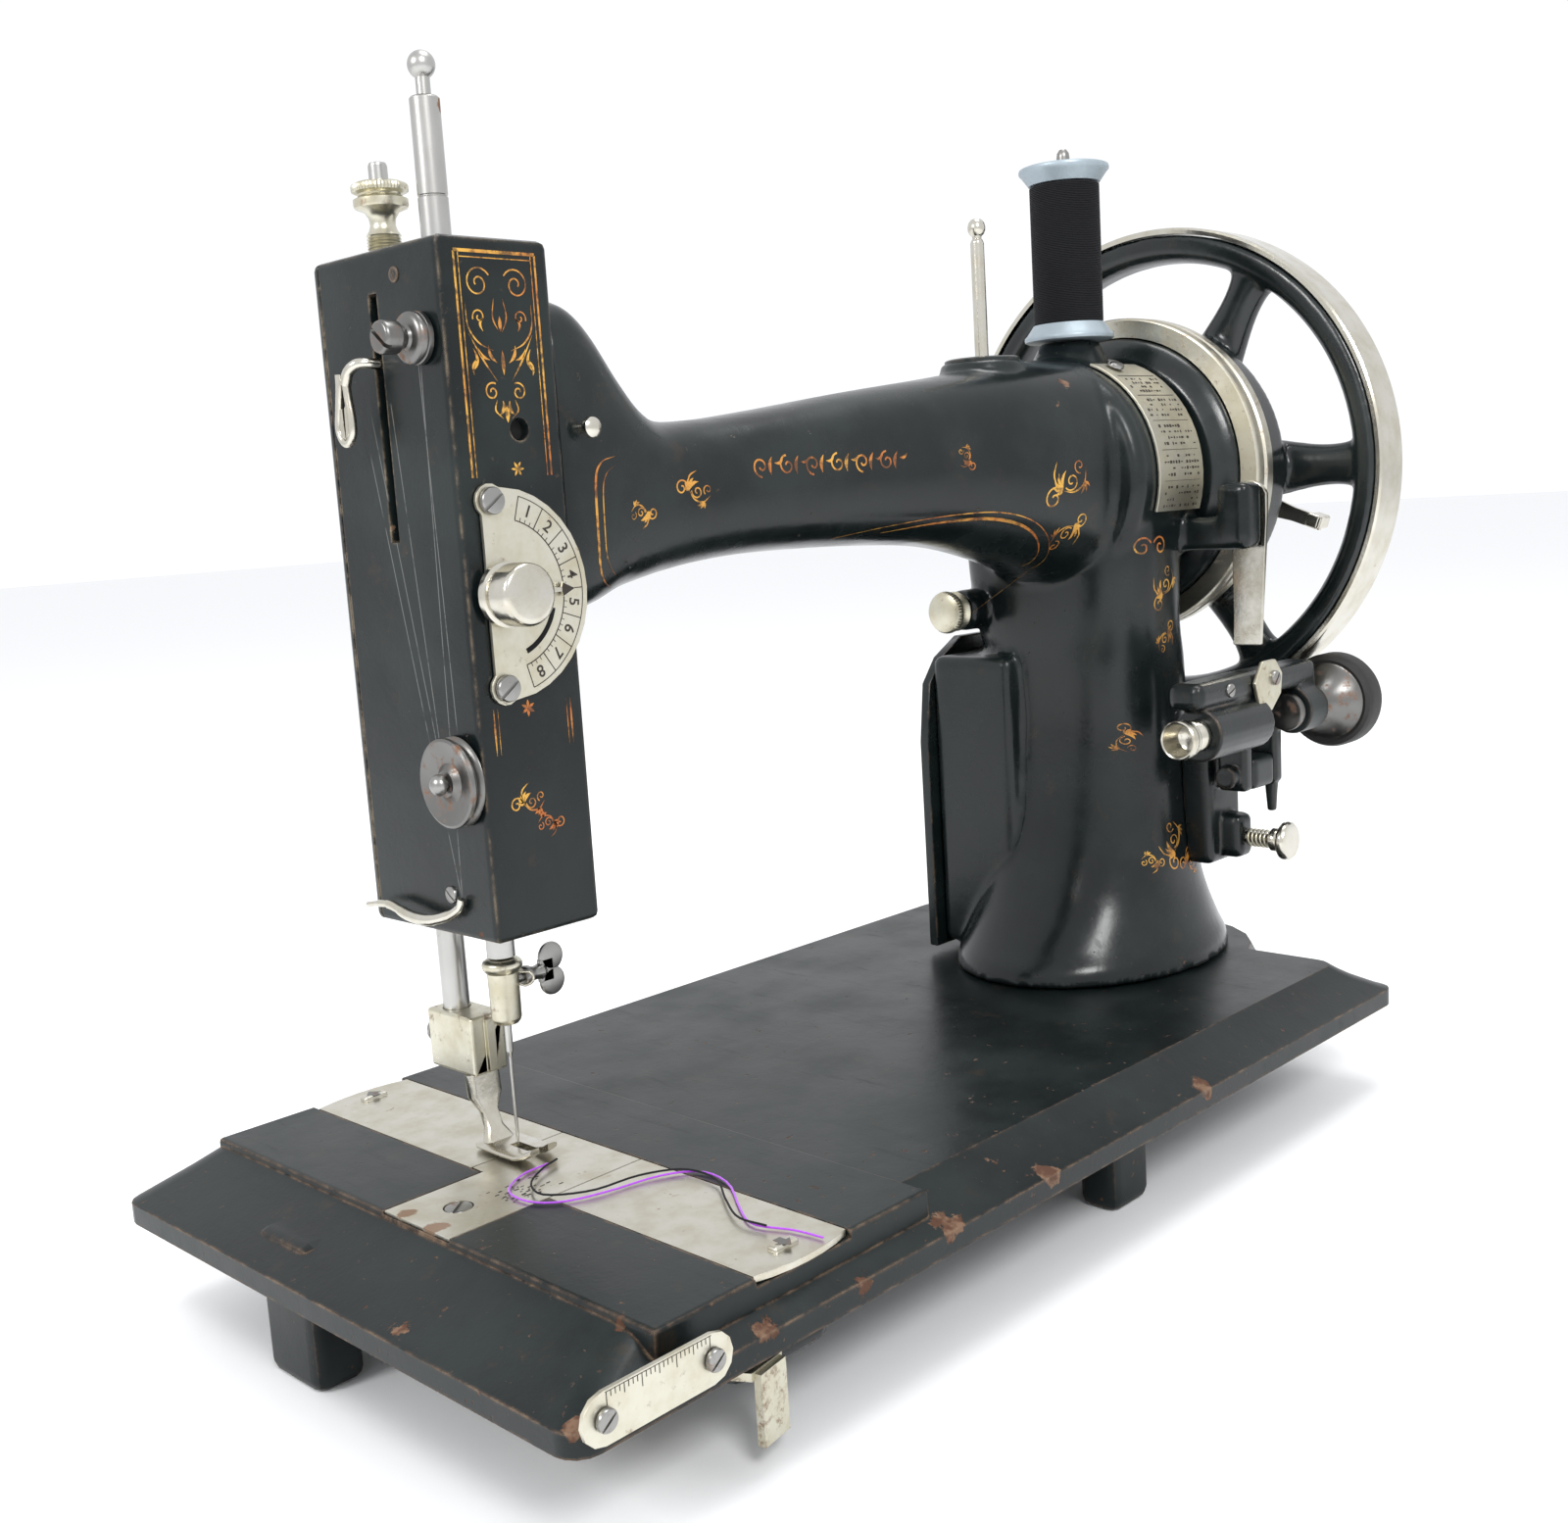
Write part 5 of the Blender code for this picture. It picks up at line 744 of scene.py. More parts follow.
def make_bed():
    """The bed, its plates and what lies under them."""
    refined("bed", bed_paint, 0.45, 40)
    refined("shuttle_race", small_paint, 0.4)
    refined("head_housing", head_paint, 0.25, 40)
    refined("head_rear_cover", head_paint, 0.25, 40)
    refined("column_rear_cover", casting_paint, 0.6)
    refined("needle_plate", plate_nickel, 0.2)
    refined("front_slide_plate", plate_nickel, 0.2)
    refined("rear_slide_plate", plate_nickel, 0.2)
    refined("bed_lever", rusty_nickel, 0.35)
    refined("shuttle_carrier", dark_steel, 0.2)
    refined("shuttle", bar_steel, 0.2)
    slotted("plate_screw", (-27.9, -14.6, -1.5), Z, (0.8, 0.6, 0), 3.3, 1.5, screw_steel, "frame",
            "needle_plate_screw", 0.0)
    marks = Random(7)
    grit = []
    for _ in range(46):
        x, y = marks.uniform(-20, -6), marks.uniform(-24, -13.5)
        grit.append(block((x, y, -0.05), (x + marks.uniform(0.4, 1.3), y + marks.uniform(0.25, 0.5),
                                          0.05), 0))
    piece("feed_marks", joined(*grit), ink, "frame")
    for name, side, body in (("front_catch", -1, "front_slide"), ("rear_catch", 1, "rear_slide")):
        y = -87.5 if side < 0 else 65.2
        arrow = [(-2.2, 0), (0, 2.6 * side), (2.2, 0), (1.0, 0), (1.0, -1.8 * side), (-1.0, -1.8 * side),
                 (-1.0, 0)]
        if side < 0:
            arrow.reverse()
        piece(name, slab(arrow, (1.1, y, 0.95), X, Y, 0.12, 0), dark_steel, body)


def make_ruler():
    """The ruled plate on the front edge, its fine ticks and screws."""
    refined("ruler_plate", dial_nickel, 0.25)
    low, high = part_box("ruler_plate")
    front = (low.y - HOLE.y) / MM
    top = (high.z - HOLE.z) / MM
    ticks = []
    for step in range(25):
        x = -57.0 + step * 1.05
        tall = 2.6 if step % 8 == 0 else 1.9 if step % 4 == 0 else 1.2
        ticks.append(block((x - 0.09, front - 0.04, top - 0.35 - tall),
                           (x + 0.09, front + 0.1, top - 0.35), 0))
    ticks.append(block((-57.2, front - 0.04, top - 0.42), (-31.4, front + 0.1, top - 0.28), 0))
    piece("ruler_ticks", joined(*ticks), ink, "frame")
    for name in ("ruler_screw_left", "ruler_screw_right"):
        low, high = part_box(name)
        middle = (low + high) / 2 - HOLE
        slotted(name + "_head", (middle.x / MM, front - 0.3, middle.z / MM), -Y, (0.8, 0, 0.6), 2.3, 1.1,
                screw_steel, "frame", name)


# ---- head --------------------
def make_needle_bar():
    """The needle bar with its clamp, needle and wing screw."""
    profile = [(0, 48.7), (3.1, 48.7), (3.35, 49.0), (3.35, 221.6), (3.15, 221.8), (3.15, 222.0),
               (3.35, 222.2), (3.35, 242.6), (3.0, 243.0), (1.6, 243.4), (1.6, 247.0)]
    ball = 3.1
    for step in range(15):
        turn = math.radians(-56 + 146 * step / 14)
        profile.append((max(ball * math.cos(turn), 0), 249.7 + ball * math.sin(turn)))
    profile[-1] = (0, profile[-1][1])
    piece("needle_bar_fine", turned(profile, (0, 0, 0), Z, 64), bar_steel, "needle_bar",
          ["needle_bar"])
    low = 48.4
    clamp = [(0.9, low), (3.6, low), (4.5, low - 0.6), (4.8, low - 1.2), (4.8, low - 2.0),
             (4.4, low - 2.8), (3.8, low - 3.4), (3.7, low - 5), (3.6, low - 14.4), (3.3, low - 15.2),
             (2.8, low - 15.8), (1.05, low - 15.8)]
    piece("needle_clamp_fine", turned(clamp[::-1], (0, 0, 0), Z, 64), warm_nickel, "needle_bar",
          ["needle_clamp"])
    hook = [(3.4, -2.0, 44.5), (5.0, -3.4, 44.3), (5.6, -4.2, 43.2), (5.0, -4.4, 42.0), (3.6, -3.6, 41.4),
            (2.8, -2.6, 41.8)]
    wire("needle_clamp_hook", hook, 0.35, bright_nickel, "needle_bar", smooth=18)
    profile = [(0, 1.6), (0.16, 2.2), (0.30, 3.4), (0.42, 5.0), (0.42, 24.0), (0.62, 25.0), (0.9, 25.6),
               (0.9, 41.5), (0, 41.5)]
    piece("needle_fine", turned(profile, (0, 0, 0), Z, 32), needle_steel, "needle_bar",
          ["needle"])
    z = 42.5
    stem = turned([(0, 2.1), (1.2, 2.1), (1.2, 5.2), (2.1, 5.3), (2.5, 6.0), (2.3, 7.4), (1.7, 8.4),
                   (1.7, 9.6), (2.0, 11.0), (1.2, 12.2), (0, 12.4)], (0, 0, z), X, 40)
    wings = [turned([(0, -0.7), (2.9, -0.7), (3.5, -0.4), (3.6, 0), (3.5, 0.4), (2.9, 0.7), (0, 0.7)],
                    (14.2, 0, z + side * 3.0), Y, 40) for side in (-1, 1)]
    piece("wing_screw", joined(stem, block((10.5, -0.7, z - 2.8), (14.5, 0.7, z + 2.8), 0.2), *wings),
          screw_steel, "clamp_screw", ["needle_clamp_screw"])


def make_presser():
    """The presser bar, its nut, spring, clamp, foot and lifter."""
    y = 20.5
    piece("presser_bar_fine", turned([(0, 19), (3.1, 19), (3.3, 19.3), (3.3, 149.7), (3.0, 150),
                                      (2.2, 150), (2.2, 231.9), (1.9, 232.6), (1.3, 232.8), (0, 232.8)],
                                     (0, y, 0), Z, 48), bar_steel, "presser",
          ["presser_bar"])
    nut = [(2.35, 200.5), (4.0, 200.5)]
    for turn in range(22):
        nut += [(4.0, 201.0 + turn * 0.7), (3.6, 201.35 + turn * 0.7)]
    nut += [(4.0, 216.5), (3.3, 217.6), (2.9, 218.8), (3.1, 220.4), (4.0, 221.8), (6.0, 222.6),
            (6.25, 223.2), (6.25, 224.5), (5.2, 225.0), (5.0, 225.3), (5.2, 225.7), (6.4, 226.2),
            (6.5, 226.5), (6.5, 227.4), (6.3, 227.8), (5.2, 228.3), (2.35, 228.4)]
    piece("pressure_nut_fine", ribbed(nut, (0, y, 0), Z, 226.1, 227.9, 0.22, 50), warm_nickel,
          "pressure_nut", ["pressure_nut"])
    refined("presser_clamp", warm_nickel, 0.4)
    refined("presser_foot", bright_nickel, 0.25)
    refined("presser_lifter", bright_nickel, 0.4)
    slotted("presser_clamp_screw", (0, 28.8, 25.8), Y, X, 3.2, 1.6, screw_steel, "presser")
    low, high = [(corner.z - HOLE.z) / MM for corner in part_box("presser_spring")]
    coil = []
    steps = SPRING_TURNS * SPRING_STEPS
    for turn in range(steps + 1):
        angle = turn * 2 * math.pi / SPRING_STEPS
        coil.append((3.2 * math.cos(angle), y + 3.2 * math.sin(angle),
                     high - 0.7 - (high - low - 1.4) * turn / steps))
    coiled("presser_coil", coil, 0.6, dark_steel,
           ["presser_spring"])
    for node in ("take_up_carrier", "lever_cam", "needle_lever"):
        repaint(NODES[node], dark_steel)


def make_face():
    """What is on the head's end face: studs, take-up, tension disc, guide and screws."""
    x = HEAD_LEFT
    stud = [(0, -3.5), (1.5, -3.5), (1.5, 0.3), (5.2, 0.3), (5.6, 0.6), (5.6, 1.6), (5.2, 1.9),
            (5.6, 2.2), (5.6, 3.0), (5.1, 3.7), (4.2, 4.0), (2.8, 4.2), (2.4, 4.8), (2.7, 5.6),
            (3.4, 6.4), (3.6, 7.0), (3.6, 9.8), (3.3, 10.5), (2.8, 10.8), (0, 10.8)]
    button = piece("check_stud_fine", turned(stud, (x, STUD_Y, STUD_Z), -X, 56), dark_steel, "frame",
                   ["check_stud"])
    slot = block((x - 11.6, STUD_Y - 5, STUD_Z - 0.45), (x - 9.4, STUD_Y + 5, STUD_Z + 0.45), 0)
    bmesh.ops.rotate(slot, cent=at(x, STUD_Y, STUD_Z), matrix=Matrix.Rotation(math.radians(40), 3, "X"),
                     verts=slot.verts)
    cut_from(button, slot)
    y, z = 5.0, 186.0
    stem = [(x + 7.0, y, z), (x, y, z), (x - 2.6, y + 0.2, z + 0.2), (x - 4.6, y + 1.6, z + 0.1),
            (x - 5.5, y + 3.8, z - 1.4), (x - 5.6, y + 5.2, z - 4.0)]
    wire("take_up_stem", stem, 1.25, bright_nickel, "take_up", ["take_up_lever"],
         smooth=24)
    loop = [(x - 5.6, y + 5.0, z - 3.4), (x - 5.6, y + 4.6, z - 7.0), (x - 5.6, y + 4.0, z - 11.0),
            (x - 5.6, y + 4.2, z - 14.6), (x - 5.6, y + 6.0, z - 16.6), (x - 5.6, y + 8.2, z - 16.0),
            (x - 5.6, y + 9.4, z - 13.2), (x - 5.6, y + 8.6, z - 9.0), (x - 5.6, y + 7.6, z - 4.4),
            (x - 5.6, y + 7.4, z - 1.6)]
    wire("take_up_loop", loop, 0.95, bright_nickel, "take_up", smooth=48)
    web = [(5.0, -8.0), (4.6, -12.0), (5.0, -14.6), (6.4, -15.8), (6.3, -12.6), (6.1, -9.0)]
    web_back = [(7.0, -9.0), (6.9, -12.6), (6.6, -15.8), (8.2, -15.2), (8.8, -13.0), (8.0, -9.0)]
    for name, outline in (("take_up_web_front", web), ("take_up_web_back", web_back)):
        piece(name, slab([(y + a, z + b) for a, b in outline], (x - 6.1, 0, 0), Y, Z, 1.0, 0.2),
              bright_nickel,
              "take_up")
    pin = [(0, -4), (1.5, -4), (1.5, 4.6), (1.9, 4.9), (2.4, 5.3)]
    pin += [(2.5 * math.cos(math.radians(a)), 5.6 + 2.2 * math.sin(math.radians(a))) for a in range(10,
        90, 12)]
    pin.append((0, 7.8))
    piece("tension_stud_fine", turned(pin, (x, DISC_Y, DISC_Z), -X, 40), screw_steel, "frame",
          ["tension_stud"])
    disc = [(1.65, 0.3), (8.6, 0.3), (9.8, 0.5), (10.2, 0.9), (9.9, 1.4), (8.9, 2.0), (8.9, 2.3),
            (9.9, 2.8), (10.2, 3.3), (10.0, 3.9), (9.4, 4.2), (8.6, 4.0), (6.4, 3.2), (4.5, 3.0),
            (3.6, 3.6), (3.0, 4.2), (1.65, 4.3)]
    piece("tension_disc_fine", turned(disc, (x, DISC_Y, DISC_Z), -X, 72), dark_steel, "tension_disc",
          ["tension_disc"])
    guide = [(x - 1.2, -9.5, 67.2), (x - 1.5, -8.5, 65.0), (x - 2.4, -5.0, 63.0), (x - 3.7, 1.0, 61.6),
             (x - 3.9, 8.0, 61.8), (x - 3.4, 16.0, 63.2), (x - 3.3, 21.0, 63.0), (x - 3.6, 26.0, 62.2)]
    wire("face_guide", guide, 1.1, bright_nickel, "frame", ["face_thread_guide"],
         smooth=40, radii=[0.9, 1.0, 1.15, 1.25, 1.2, 1.0, 0.8, 0.6])
    slotted("face_screw", (x, -4.1, 204.0), -X, (0, 0.3, 0.95), 1.7, 0.35, small_paint, "frame")
    slotted("guide_screw", (x, -4.2, 67.4), -X, (0, 0.8, 0.6), 2.0, 0.7, screw_steel, "frame")
    rivet = turned([(0, 0), (1.2, 0), (1.2, 2.0), (2.1, 2.6), (2.5, 3.4), (2.3, 4.4), (1.4, 5.1),
                    (0, 5.3)], (21.5, -18.6, 169.9), -Y, 40)
    piece("arm_thread_pin", rivet, bright_nickel, "frame")


def make_dial():
    """The stitch dial: engraved plate, numbers, two screws and the regulating knob."""
    refined("dial_plate", dial_nickel, 0.25)
    front = HEAD_FRONT - 1.3
    marks = []

    def spoke(turn, inner, outer, wide, deep=0.05):
        mark = block((inner, front - deep, -wide / 2), (outer, front + 0.1, wide / 2), 0)
        bmesh.ops.rotate(mark, cent=at(0, 0, 0), matrix=Matrix.Rotation(-math.radians(turn), 3, "Y"),
                         verts=mark.verts)
        bmesh.ops.translate(mark, vec=Vector((DIAL_X, 0, DIAL_Z)) * MM, verts=mark.verts)
        return mark

    for step in range(9):
        marks.append(spoke(74 - 18.5 * step, 16.6, 21.8, 0.22))
    for step in range(33):
        marks.append(spoke(74 - 4.625 * step, 16.6, 17.4, 0.16))
    for step in range(74):
        marks.append(spoke(73 - 2 * step, 16.35, 16.6, 0.62))
        marks.append(spoke(73 - 2 * step, 21.7, 21.9, 0.80))
    piece("dial_marks", joined(*marks), ink, "frame")
    # Painted shade: dark strips laid on the dial plate where its groove round the knob falls into shadow.
    grooves = [spoke(-18 - 2 * step, 13.1, 14.3, 0.62, 0.03) for step in range(26)]
    piece("dial_groove_painted_shade", joined(*grooves), painted_shade, "frame")
    for step in range(8):
        turn = math.radians(74 - 18.5 * (step + 0.5))
        text = bpy.data.curves.new("digit", "FONT")
        text.body, text.size, text.extrude, text.offset = str(step + 1), 3.9 * MM, 0.03 * MM, 0.00005
        text.align_x = text.align_y = "CENTER"
        holder = linked("digit", text)
        mesh = baked(holder)
        bpy.data.objects.remove(holder)
        out = Vector((math.cos(turn), 0, math.sin(turn)))
        along = Vector((math.sin(turn), 0, -math.cos(turn)))
        stand = standing(along, out, -Y)
        spot = at(DIAL_X, front - 0.02, DIAL_Z) + out * 19.3 * MM
        mesh.transform(Matrix.Translation(spot) @ stand)
        finish_piece(linked("dial_number_%d" % (step + 1), mesh), ink, "frame")
    for name, rise in (("dial_screw_lower", -20.3), ("dial_screw_upper", 20.3)):
        slotted(name + "_head", (-7.5, front - 0.3, DIAL_Z + rise), -Y, (0.8, 0, 0.6), 3.0, 1.3,
                screw_steel, "frame", name)
    knob = [(0, -6), (2.2, -6), (2.2, 1.6), (7.0, 1.6), (7.2, 1.8), (7.2, 3.2), (6.6, 3.5), (6.0, 3.7),
            (6.0, 4.3), (6.6, 4.6), (6.9, 5.0), (6.9, 9.8), (6.7, 10.5), (6.2, 11.0), (5.2, 11.2),
            (0, 11.25)]
    shape = ribbed(knob, (DIAL_X, HEAD_FRONT, DIAL_Z), -Y, 4.9, 9.9, 0.12, 60)
    hand = slab([(4, -0.7), (15.0, -0.5), (15.4, -1.7), (18.6, 0), (15.4, 1.7), (15.0, 0.5), (4, 0.7)],
                (DIAL_X, front - 0.6, DIAL_Z), X, Z, 0.9, 0.12)
    piece("dial_knob_fine", joined(shape, hand), bright_nickel, "dial_knob",
          ["dial_knob"])
    black = slab([(14.9, -0.45), (15.2, -1.5), (18.4, 0), (15.2, 1.5), (14.9, 0.45)],
                 (DIAL_X, front - 1.47, DIAL_Z), X, Z, 0.06, 0)
    piece("dial_pointer_tip", black, ink, "dial_knob")
    # Painted shade: a dark disc set inside the hole on the head's front, standing for the shadow in it.
    hole = turned([(0, 0), (2.5, 0), (2.5, 0.6), (0, 0.6)], (2.9, HEAD_FRONT + 3.2, 169.9), -Y, 40)
    piece("front_hole_painted_shade", hole, painted_shade, "frame")


# ---- spool, pins and scale --------------------
def make_spool():
    """The spool on its pin, the thread pin and the rear knob."""
    seat = (SPOOL_X, SHAFT_Y, SPOOL_SEAT + 0.3)
    high, bore = 52.0, 3.2
    profile = [(bore, 0.4), (4.0, 0), (12.9, 0), (13.5, 0.3), (13.7, 0.9), (13.6, 1.6), (12.9, 2.3),
               (10.8, 5.2), (6, 5.2), (6, high - 5.2), (10.8, high - 5.2), (12.9, high - 2.3),
               (13.6, high - 1.6), (13.7, high - 0.9), (13.5, high - 0.3), (12.9, high), (6.5, high),
               (5.8, high - 0.8), (4.2, high - 0.8), (bore, high - 0.4)]
    piece("spool_body", turned(profile, seat, Z, 96), spool_metal, "spool",
          ["thread_spool"])
    wound = [(6.1, 5.5)]
    turns = 82
    pitch = (high - 11.4) / turns
    for turn in range(turns):
        level = 5.6 + turn * pitch
        wound += [(10.25, level), (10.6, level + pitch * 0.3), (10.6, level + pitch * 0.7)]
    wound += [(10.25, high - 5.6), (6.1, high - 5.6)]
    piece("wound_thread", turned(wound, seat, Z, 72), black_cotton, "spool",
          ["spool_thread"])
    pin = [(0, -7), (2, -7), (2, 55), (1.8, 56.3), (1.1, 57.3), (0, 57.5)]
    piece("spool_pin_fine", turned(pin, (SPOOL_X, SHAFT_Y, SPOOL_SEAT), Z, 40), screw_steel, "frame",
          ["spool_pin"])
    pin = [(0, -5), (2, -5), (2, 33.4), (1.7, 34.2), (1.3, 34.8), (1.4, 35.4), (2.1, 36.0), (2.55, 37.0),
           (2.6, 38.0), (2.3, 39.2), (1.5, 40.1), (0, 40.5)]
    piece("thread_pin_fine", turned(pin, (PIN_X, PIN_Y, SHAFT_Z + 36.2), Z, 40), bright_nickel, "frame",
          ["thread_pin"])
    base = turned([(0, -0.6), (11.0, -0.6), (11.0, 0.3), (10.2, 0.7), (4.0, 0.8), (3.0, 1.2), (2.3, 1.2),
                   (2.3, 0.5), (0, 0.5)], (PIN_X, PIN_Y, 187.6), Z, 64)
    piece("thread_pin_base", base, wheel_paint, "frame")
    knob = [(0, -8), (2, -8), (2, 0.3), (4.3, 0.3), (5.9, 1.2), (6.2, 2.0), (5.6, 2.9), (4.3, 3.5),
            (4.8, 4.2), (6.2, 5.0), (6.6, 5.8), (6.6, 6.8), (6.2, 7.6), (4.6, 8.3), (0, 8.5)]
    piece("rear_knob", ribbed(knob, REAR_KNOB, -X, 4.9, 7.7, 0.2, 44), warm_nickel,
          "thumb_screw", ["rear_thumb_screw"])


def make_scale():
    """The curved plate on the bearing drum, with rows of small stamped marks."""
    refined("scale_plate", dial_nickel, 0.25)
    marks = Random(21)
    stamps = []
    left = DRUM_RIGHT - 26.5
    for row in range(25):
        turn = math.radians(126 + row * 2.85)
        out = Vector((0, math.cos(turn), math.sin(turn)))
        along = X.cross(out)
        for column in range(13):
            if row % 5 and marks.random() < 0.42:
                continue
            wide, tall = (1.5, 0.12) if row % 5 == 0 else (marks.uniform(0.3, 1.1),
                                                           marks.uniform(0.3, 1.0))
            x = left + 3.4 + column * 1.5
            stamp = bmesh.new()
            bmesh.ops.create_cube(stamp, size=1.0)
            bmesh.ops.scale(stamp, vec=Vector((wide, tall, 0.16)) * MM, verts=stamp.verts)
            spot = at(x, SHAFT_Y, SHAFT_Z) + out * (DRUM_RADIUS + 1.2) * MM
            stamp.transform(Matrix.Translation(spot) @ standing(X, along, out))
            stamps.append(stamp)
    piece("scale_stamps", joined(*stamps), ink, "frame")
    turn = math.radians(118)
    out = Vector((0, math.cos(turn), math.sin(turn)))
    seat = Vector((DRUM_RIGHT - 19, SHAFT_Y, SHAFT_Z)) + out * (DRUM_RADIUS + 1.8)
    slotted("scale_screw", seat, out, X, 2.8, 1.2, screw_steel, "frame", "scale_plate_screw")
    bush = [(5.7, -35), (8.5, -35), (8.5, 0.3), (13.6, 0.3), (14, 0.7), (14, 1.6), (13.6, 2.0),
            (5.7, 2.0)]
    piece("bearing_bush", turned(bush, (DRUM_RIGHT, SHAFT_Y, SHAFT_Z), X, 64), dark_steel, "frame",
          ["shaft_bush"])
    end = WHEEL_LEFT + WHEEL_WIDTH + 3
    shaft = [(0, 180), (5.5, 180), (5.5, end - 0.8), (5.0, end - 0.2), (4.2, end), (1.2, end),
             (0, end - 1.0)]
    piece("shaft_fine", turned(shaft, (0, SHAFT_Y, SHAFT_Z), X, 64), screw_steel, "wheel",
          ["main_shaft"])
    refined("stop_lever", bright_nickel, 0.3)
    hub = [(6.0, 0.05), (12.5, 0.05), (13.0, 0.5), (13.0, 1.6), (12.4, 2.2), (6.0, 2.2)]
    piece("stop_washer", turned(hub, (WHEEL_LEFT + WHEEL_WIDTH, SHAFT_Y, SHAFT_Z), X, 64), bright_nickel,
          "wheel")


# ---- bobbin winder --------------------
def make_winder():
    cast_copy("winder_frame", small_paint, 0.45, 3)
    cast_copy("winder_bracket", small_paint, 0.5, 4)
    refined("winder_strap", bright_nickel, 0.35)
    stud = [(0, -12.5), (2, -12.5), (2, 0), (4.0, 0), (4.2, 0.3), (4.2, 1.0), (3.9, 1.3), (3.0, 1.5),
            (3.0, 2.8), (2.7, 3.2), (2.0, 3.4), (0, 3.4)]
    piece("strap_stud", turned(stud, (240.8 + 0.3, -64.5, 142), X, 40), screw_steel, "frame",
          ["strap_screw"])
    y, z = WINDER_Y, WINDER_Z
    cup = [(0, -3.0), (3.6, -4.4), (4.6, -7.6), (4.8, -10.8), (5.2, -11.0), (5.6, -10.6), (5.7, -9.6),
           (5.6, -8.2), (5.2, -7.6), (5.4, -7.0), (5.2, -6.4), (4.3, -6.0), (4.7, -5.4), (4.3, -4.8),
           (4.7, -4.2), (4.3, -3.6), (4.7, -3.0), (4.3, -2.4), (4.7, -1.8), (4.6, -0.3), (2.5, -0.3),
           (2.5, 33), (1.0, 35), (0, 35)]
    piece("bobbin_cup_fine", turned(cup, (193.5, y, z), X, 64), bright_nickel, "bobbin_cup",
          ["bobbin_cup"])
    wheel_x = WHEEL_LEFT + WHEEL_WIDTH / 2
    tyre = [(11.9, wheel_x - 4.4), (13.0, wheel_x - 4.8), (14.2, wheel_x - 4.2), (14.8, wheel_x - 2.8),
            (14.8, wheel_x + 2.8), (14.2, wheel_x + 4.2), (13.0, wheel_x + 4.8), (11.9, wheel_x + 4.4)]
    piece("winder_tyre", turned(tyre, (0, y, z), X, 72), rubber, "winder_wheel",
          ["winder_wheel"])
    hub = [(0, 244.0), (5.0, 244.0), (5.7, 244.4), (5.8, 245.2), (5.8, 246.4), (5.4, 246.9), (3.0, 247.0),
           (3.0, 260.0), (3.8, 260.6), (4.2, 263), (6.0, 267), (9.4, 270.2), (11.4, wheel_x - 4.6),
           (12.1, wheel_x - 4.4), (12.1, wheel_x + 4.4), (11.0, wheel_x + 4.4), (10.0, wheel_x + 2.0),
           (5.0, wheel_x + 2.0), (4.0, wheel_x + 4), (3.0, wheel_x + 6.8), (0, wheel_x + 7.2)]
    piece("winder_spindle", turned(hub, (0, y, z), X, 72), dark_steel, "winder_wheel")
    cam = [(-8.5, 2.0), (-6.0, -5.5), (1.0, -7.0), (6.5, -2.5), (7.5, 3.5), (3.5, 8.0), (-4.0, 8.0)]
    piece("winder_cam", slab([(a, z + 10 + b) for a, b in cam], (226.5, y - 3.7, 0), X, Z, 1.4, 0.4),
          warm_nickel, "winder_frame")
    slotted("winder_cam_screw", (229.0, y - 5.1, z + 12.5), -Y, (0.6, 0, 0.8), 2.2, 1.0, screw_steel,
            "winder_frame")
    slotted("winder_ear_screw", (206.0, y - 3.4, z + 11.5), -Y, (0.9, 0, 0.4), 2.0, 0.8, screw_steel,
            "winder_frame")
    slotted("winder_pivot_cap", (231.0, PIVOT_Y, PIVOT_Z), -X, (0, 0.5, 0.8), 3.5, 1.0, warm_nickel,
            "winder_frame")
    plunger = [(0, -10.5), (1.6, -10.5), (1.6, 8.5), (3.3, 8.6), (3.6, 8.9), (3.6, 10.3), (3.0, 11.1),
               (5.0, 11.9), (5.8, 12.5), (6.0, 13.2), (5.9, 14.1), (5.3, 14.8), (4.0, 15.0), (0, 15.0)]
    piece("latch_knob", turned(plunger, (BRACKET_X, PIVOT_Y + 1.5, LATCH_Z), -Y, 56), bright_nickel,
          "latch", ["latch_plunger"])
    coil = []
    steps = LATCH_TURNS * LATCH_STEPS
    for turn in range(steps + 1):
        angle = turn * 2 * math.pi / LATCH_STEPS
        coil.append((BRACKET_X + 2.5 * math.cos(angle), PIVOT_Y + 0.6 - 6.8 * turn / steps,
                     LATCH_Z + 2.5 * math.sin(angle)))
    coiled("latch_spring", coil, 0.42, warm_nickel)


# ---- gold ornament --------------------
LIFT = 0.05
SURFACE = {}


def surface_of(obj):
    """A piece's surface, ready for rays."""
    if obj.name not in SURFACE:
        SURFACE[obj.name] = BVHTree.FromObject(obj, bpy.context.evaluated_depsgraph_get())
    return SURFACE[obj.name]


def on_head(x, z):
    return at(x, HEAD_FRONT - LIFT, z), -Y


def on_casting(x, z):
    spot, normal, _, _ = surface_of(casting).ray_cast(at(x, -150, z), Y)
    if spot is None:
        return None, None
    return spot + normal * LIFT * MM, normal


def ribbon(shape, flat, width, onto, taper):
    """A painted stroke along flat points, laid on a surface and narrowing to its ends."""
    laid = [onto(x, z) for x, z in flat]
    laid = [pair for pair in laid if pair[0] is not None]
    edge, pair = None, None
    for index, (spot, normal) in enumerate(laid):
        along = laid[min(index + 1, len(laid) - 1)][0] - laid[max(index - 1, 0)][0]
        share = index / max(len(laid) - 1, 1)
        half = width / 2 * MM * (max(math.sin(math.pi * min(max(share, 0.03), 0.97)),
                                     0.1) if taper else 1)
        side = along.cross(normal).normalized() * half
        if edge is None:
            pair = [shape.verts.new(spot - side), shape.verts.new(spot + side)]
            edge = shape.edges.new(pair)
            continue
        grown = bmesh.ops.extrude_edge_only(shape, edges=[edge])["geom"]
        fresh = [item for item in grown if isinstance(item, bmesh.types.BMVert)]
        following = [next(vert for vert in fresh if any(old in rung.verts for rung in vert.link_edges))
                     for old in pair]
        following[0].co, following[1].co = spot - side, spot + side
        edge = next(rung for rung in following[0].link_edges if following[1] in rung.verts)
        pair = following


